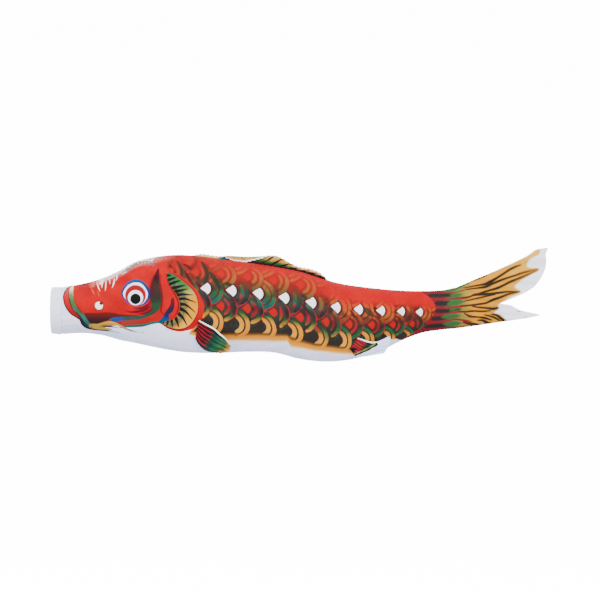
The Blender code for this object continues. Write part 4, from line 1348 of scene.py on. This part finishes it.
def stitch_mesh(name, places, ways, outs, long, thick):
    """Short stitches of thread: each an arched bead, at a place, along a way, standing out."""
    ring = 6
    verts, faces = [], []
    shares = (-0.5, -0.42, -0.2, 0.0, 0.2, 0.42, 0.5)
    for place, way, out in zip(places, ways, outs):
        side = np.cross(way, out)
        base = len(verts)
        for share in shares:
            swell = math.sqrt(max(0.02, 1 - (2 * share) ** 4))
            centre = place + way * share * long + out * thick * 0.55 * (1 - 3.4 * share * share)
            for k in range(ring):
                a = 2 * math.pi * k / ring
                verts.append(centre + thick * 0.5 * swell * (math.cos(a) * side + math.sin(a) * out))
        for row in range(len(shares) - 1):
            for k in range(ring):
                a, b = base + row * ring + k, base + row * ring + (k + 1) % ring
                faces.append((a, b, b + ring, a + ring))
        faces.append(tuple(base + k for k in range(ring))[::-1])
        faces.append(tuple(base + (len(shares) - 1) * ring + k for k in range(ring)))
    mesh = bpy.data.meshes.new(name)
    mesh.from_pydata([tuple(v) for v in verts], [], faces)
    mesh.shade_smooth()
    return mesh


def collar_stitches(look):
    angle = np.linspace(0, 2 * np.pi, COLLAR_STITCHES, endpoint=False)
    outs = np.stack([0 * angle, np.sin(angle), np.cos(angle)], -1)
    ways = np.stack([0 * angle, np.cos(angle), -np.sin(angle)], -1)
    places = outs * (HEM_RADIUS + 0.0004) + np.array((COLLAR_SEAM, 0, 0))
    mesh = stitch_mesh("collar_stitches", places, ways, outs, COLLAR_STITCH, THREAD)
    mesh.materials.append(look)
    thread = link("collar_stitches", mesh)
    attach(thread, "head")


def seam_stitches(look):
    """Thread along the back and belly seams, one piece for each stretch of the body."""
    ends = [TUCK] + [end or TAIL_START for _, end, *_ in SKINS]
    for (name, _, first, second, bend_from, bend_to, _), start, stop in zip(SKINS, ends, ends[1:]):
        places, ways, outs = [], [], []
        for column, sign in ((1, 1), (2, -1)):
            at = np.arange(max(start, SEAM_FROM), stop, SEAM_PITCH)
            height = curve(OUTLINE, at, column)
            slope = (curve(OUTLINE, at + 1e-4, column) - height) / 1e-4
            way = np.stack([np.ones_like(at), 0 * at, slope], -1)
            way /= np.linalg.norm(way, axis=1, keepdims=True)
            places.append(np.stack([at, 0 * at, height], -1))
            ways.append(way)
            outs.append(np.stack([-way[:, 2], 0 * at, way[:, 0]], -1) * sign)
        piece = name.replace("skin", "stitches")
        lists = [np.vstack(rows) for rows in (places, ways, outs)]
        mesh = stitch_mesh(piece, *lists, SEAM_STITCH, THREAD)
        mesh.materials.append(look)
        thread = link(piece, mesh)
        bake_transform(thread)


def hard_material(name, colour, metallic, roughness, wear):
    """Metal or enamel with fine scratches and dull patches, placed by its own coordinates."""
    material, tree, shader = new_material(name)
    own = tree.nodes.new("ShaderNodeTexCoord")
    place = Ink(own.outputs["Object"])
    patches = noise(place, 0.006, 4.0)
    fine = noise(place, 0.0012, 3.0)
    plug(tree, shader.inputs["Base Color"],
         ramp(patches + (fine - 0.5) * 0.4, (0.3, wear), (0.55, colour)))
    plug(tree, shader.inputs["Roughness"], roughness + (patches - 0.5) * 0.3)
    shader.inputs["Metallic"].default_value = metallic
    emboss(tree, shader, fine, 0.2, 0.0001)
    return material


def dress(node, look):
    """Gives a node of the CAD part a finished material."""
    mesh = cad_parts[node].data
    mesh.materials.clear()
    mesh.materials.append(look)


def white_cloth(tree, place):
    return ramp(noise(place, 0.01, 3.0), (0.3, (232, 232, 242)), (0.7, CLOTH_WHITE))


def red_thread(tree, place):
    return ramp(noise(place, 0.02), (0.3, (206, 60, 60)), (0.7, (226, 120, 116)))


group = print_group()
print_outside = surface("printed_cloth", printed(group, 0.0))
print_inside = surface("printed_cloth_reverse", printed(group, 0.62))
build_skins(print_outside, print_inside)
build_dorsal(surface("dorsal_print", dorsal_colour))
build_paired("pectoral", surface("pectoral_print", pectoral_colour))
build_paired("pelvic", surface("pelvic_print", pelvic_colour))
build_collar(surface("collar_cotton", white_cloth, weave=0.0006), EYELETS)
thread_look = surface("sewing_thread", white_cloth, 0.5, 0.0003)
collar_stitches(thread_look)
seam_stitches(surface("seam_thread", red_thread, 0.5, 0.0003))
dress("mouth_hoop", hard_material("drawn_steel", (214, 216, 220), 1.0, 0.3, (150, 150, 156)))
dress("hoop_sleeve", hard_material("crimped_steel", (200, 202, 206), 1.0, 0.42, (120, 118, 118)))
for eyelet in EYELETS:
    dress(eyelet, hard_material(f"{eyelet}_white", (244, 244, 248), 0.0, 0.28, (214, 212, 214)))


# ---------------------------------------------------------------- floor, light, camera

def studio():
    """Pale floor that curves up into a wall all the way round, seen but lighting nothing."""
    middle_x = (cad_low.x + cad_high.x) / 2
    floor_z = cad_low.z - 0.35
    flat, cove, wall = 7.0, 2.0, 14.0  # radius of the floor, of its curve up, and the wall's height
    profile = [(0.02, floor_z), (4.0, floor_z)]
    profile += [(flat + cove * math.sin(a), floor_z + cove * (1 - math.cos(a)))
                for a in np.linspace(0, math.pi / 2, 11)]
    profile.append((flat + cove, floor_z + wall))
    turns = 64
    verts = [
        (middle_x + r * math.cos(2 * math.pi * t / turns), r * math.sin(2 * math.pi * t / turns), z)
        for r, z in profile for t in range(turns)
    ]
    faces = [
        (k * turns + t, k * turns + (t + 1) % turns, (k + 1) * turns + (t + 1) % turns,
         (k + 1) * turns + t)
        for k in range(len(profile) - 1) for t in range(turns)
    ]
    faces.append(tuple(range(turns))[::-1])
    mesh = bpy.data.meshes.new("studio_floor")
    mesh.from_pydata(verts, [], faces)
    mesh.shade_smooth()
    pale, _, shader = new_material("studio_white")
    shader.inputs["Base Color"].default_value = (0.9, 0.9, 0.9, 1.0)
    shader.inputs["Roughness"].default_value = 0.9
    shader.inputs["Emission Color"].default_value = (1.0, 1.0, 1.0, 1.0)
    shader.inputs["Emission Strength"].default_value = 13.0
    mesh.materials.append(pale)
    floor = link("studio_floor", mesh)
    floor.visible_diffuse = False
    floor.visible_glossy = False
    floor.visible_shadow = False


def lamp(name, place, target, size, power):
    data = bpy.data.lights.new(name, "AREA")
    data.shape = "RECTANGLE"
    data.size, data.size_y = size
    data.energy = power
    obj = link(name, data)
    obj.location = place
    obj.rotation_euler = (Vector(target) - Vector(place)).to_track_quat("-Z", "Y").to_euler()


def lights_and_camera():
    middle = (cad_low + cad_high) / 2
    world = bpy.data.worlds.new("studio_world")
    bpy.context.scene.world = world
    world.use_nodes = True
    sky = world.node_tree.nodes["Background"]
    facing = world.node_tree.nodes.new("ShaderNodeTexCoord")
    _, _, up = split(Ink(facing.outputs["Generated"]))
    shade = world.node_tree.nodes.new("ShaderNodeValToRGB")
    plug(world.node_tree, shade.inputs[0], up * 0.5 + 0.5)
    shade.color_ramp.elements[0].color = (0.48, 0.5, 0.68, 1.0)
    shade.color_ramp.elements[1].color = (1.0, 1.0, 1.0, 1.0)
    plug(world.node_tree, sky.inputs["Color"], Ink(shade.outputs[0]))
    sky.inputs["Strength"].default_value = 2.5
    lamp("key_light", (middle.x - 0.9, -1.9, 1.3), middle, (1.4, 1.4), 44)
    lamp("fill_light", (middle.x + 0.9, -2.0, 0.5), middle, (1.4, 1.0), 20)
    data = bpy.data.cameras.new("camera")
    data.sensor_width = 36.0
    data.lens = 180.0
    data.clip_end = 60.0
    camera = link("camera", data)
    camera.location = (DRAWN_FROM[0], -DRAWN_FROM[2], DRAWN_FROM[1])
    camera.rotation_euler = (math.pi / 2, 0.0, 0.0)
    bpy.context.scene.camera = camera


studio()
lights_and_camera()
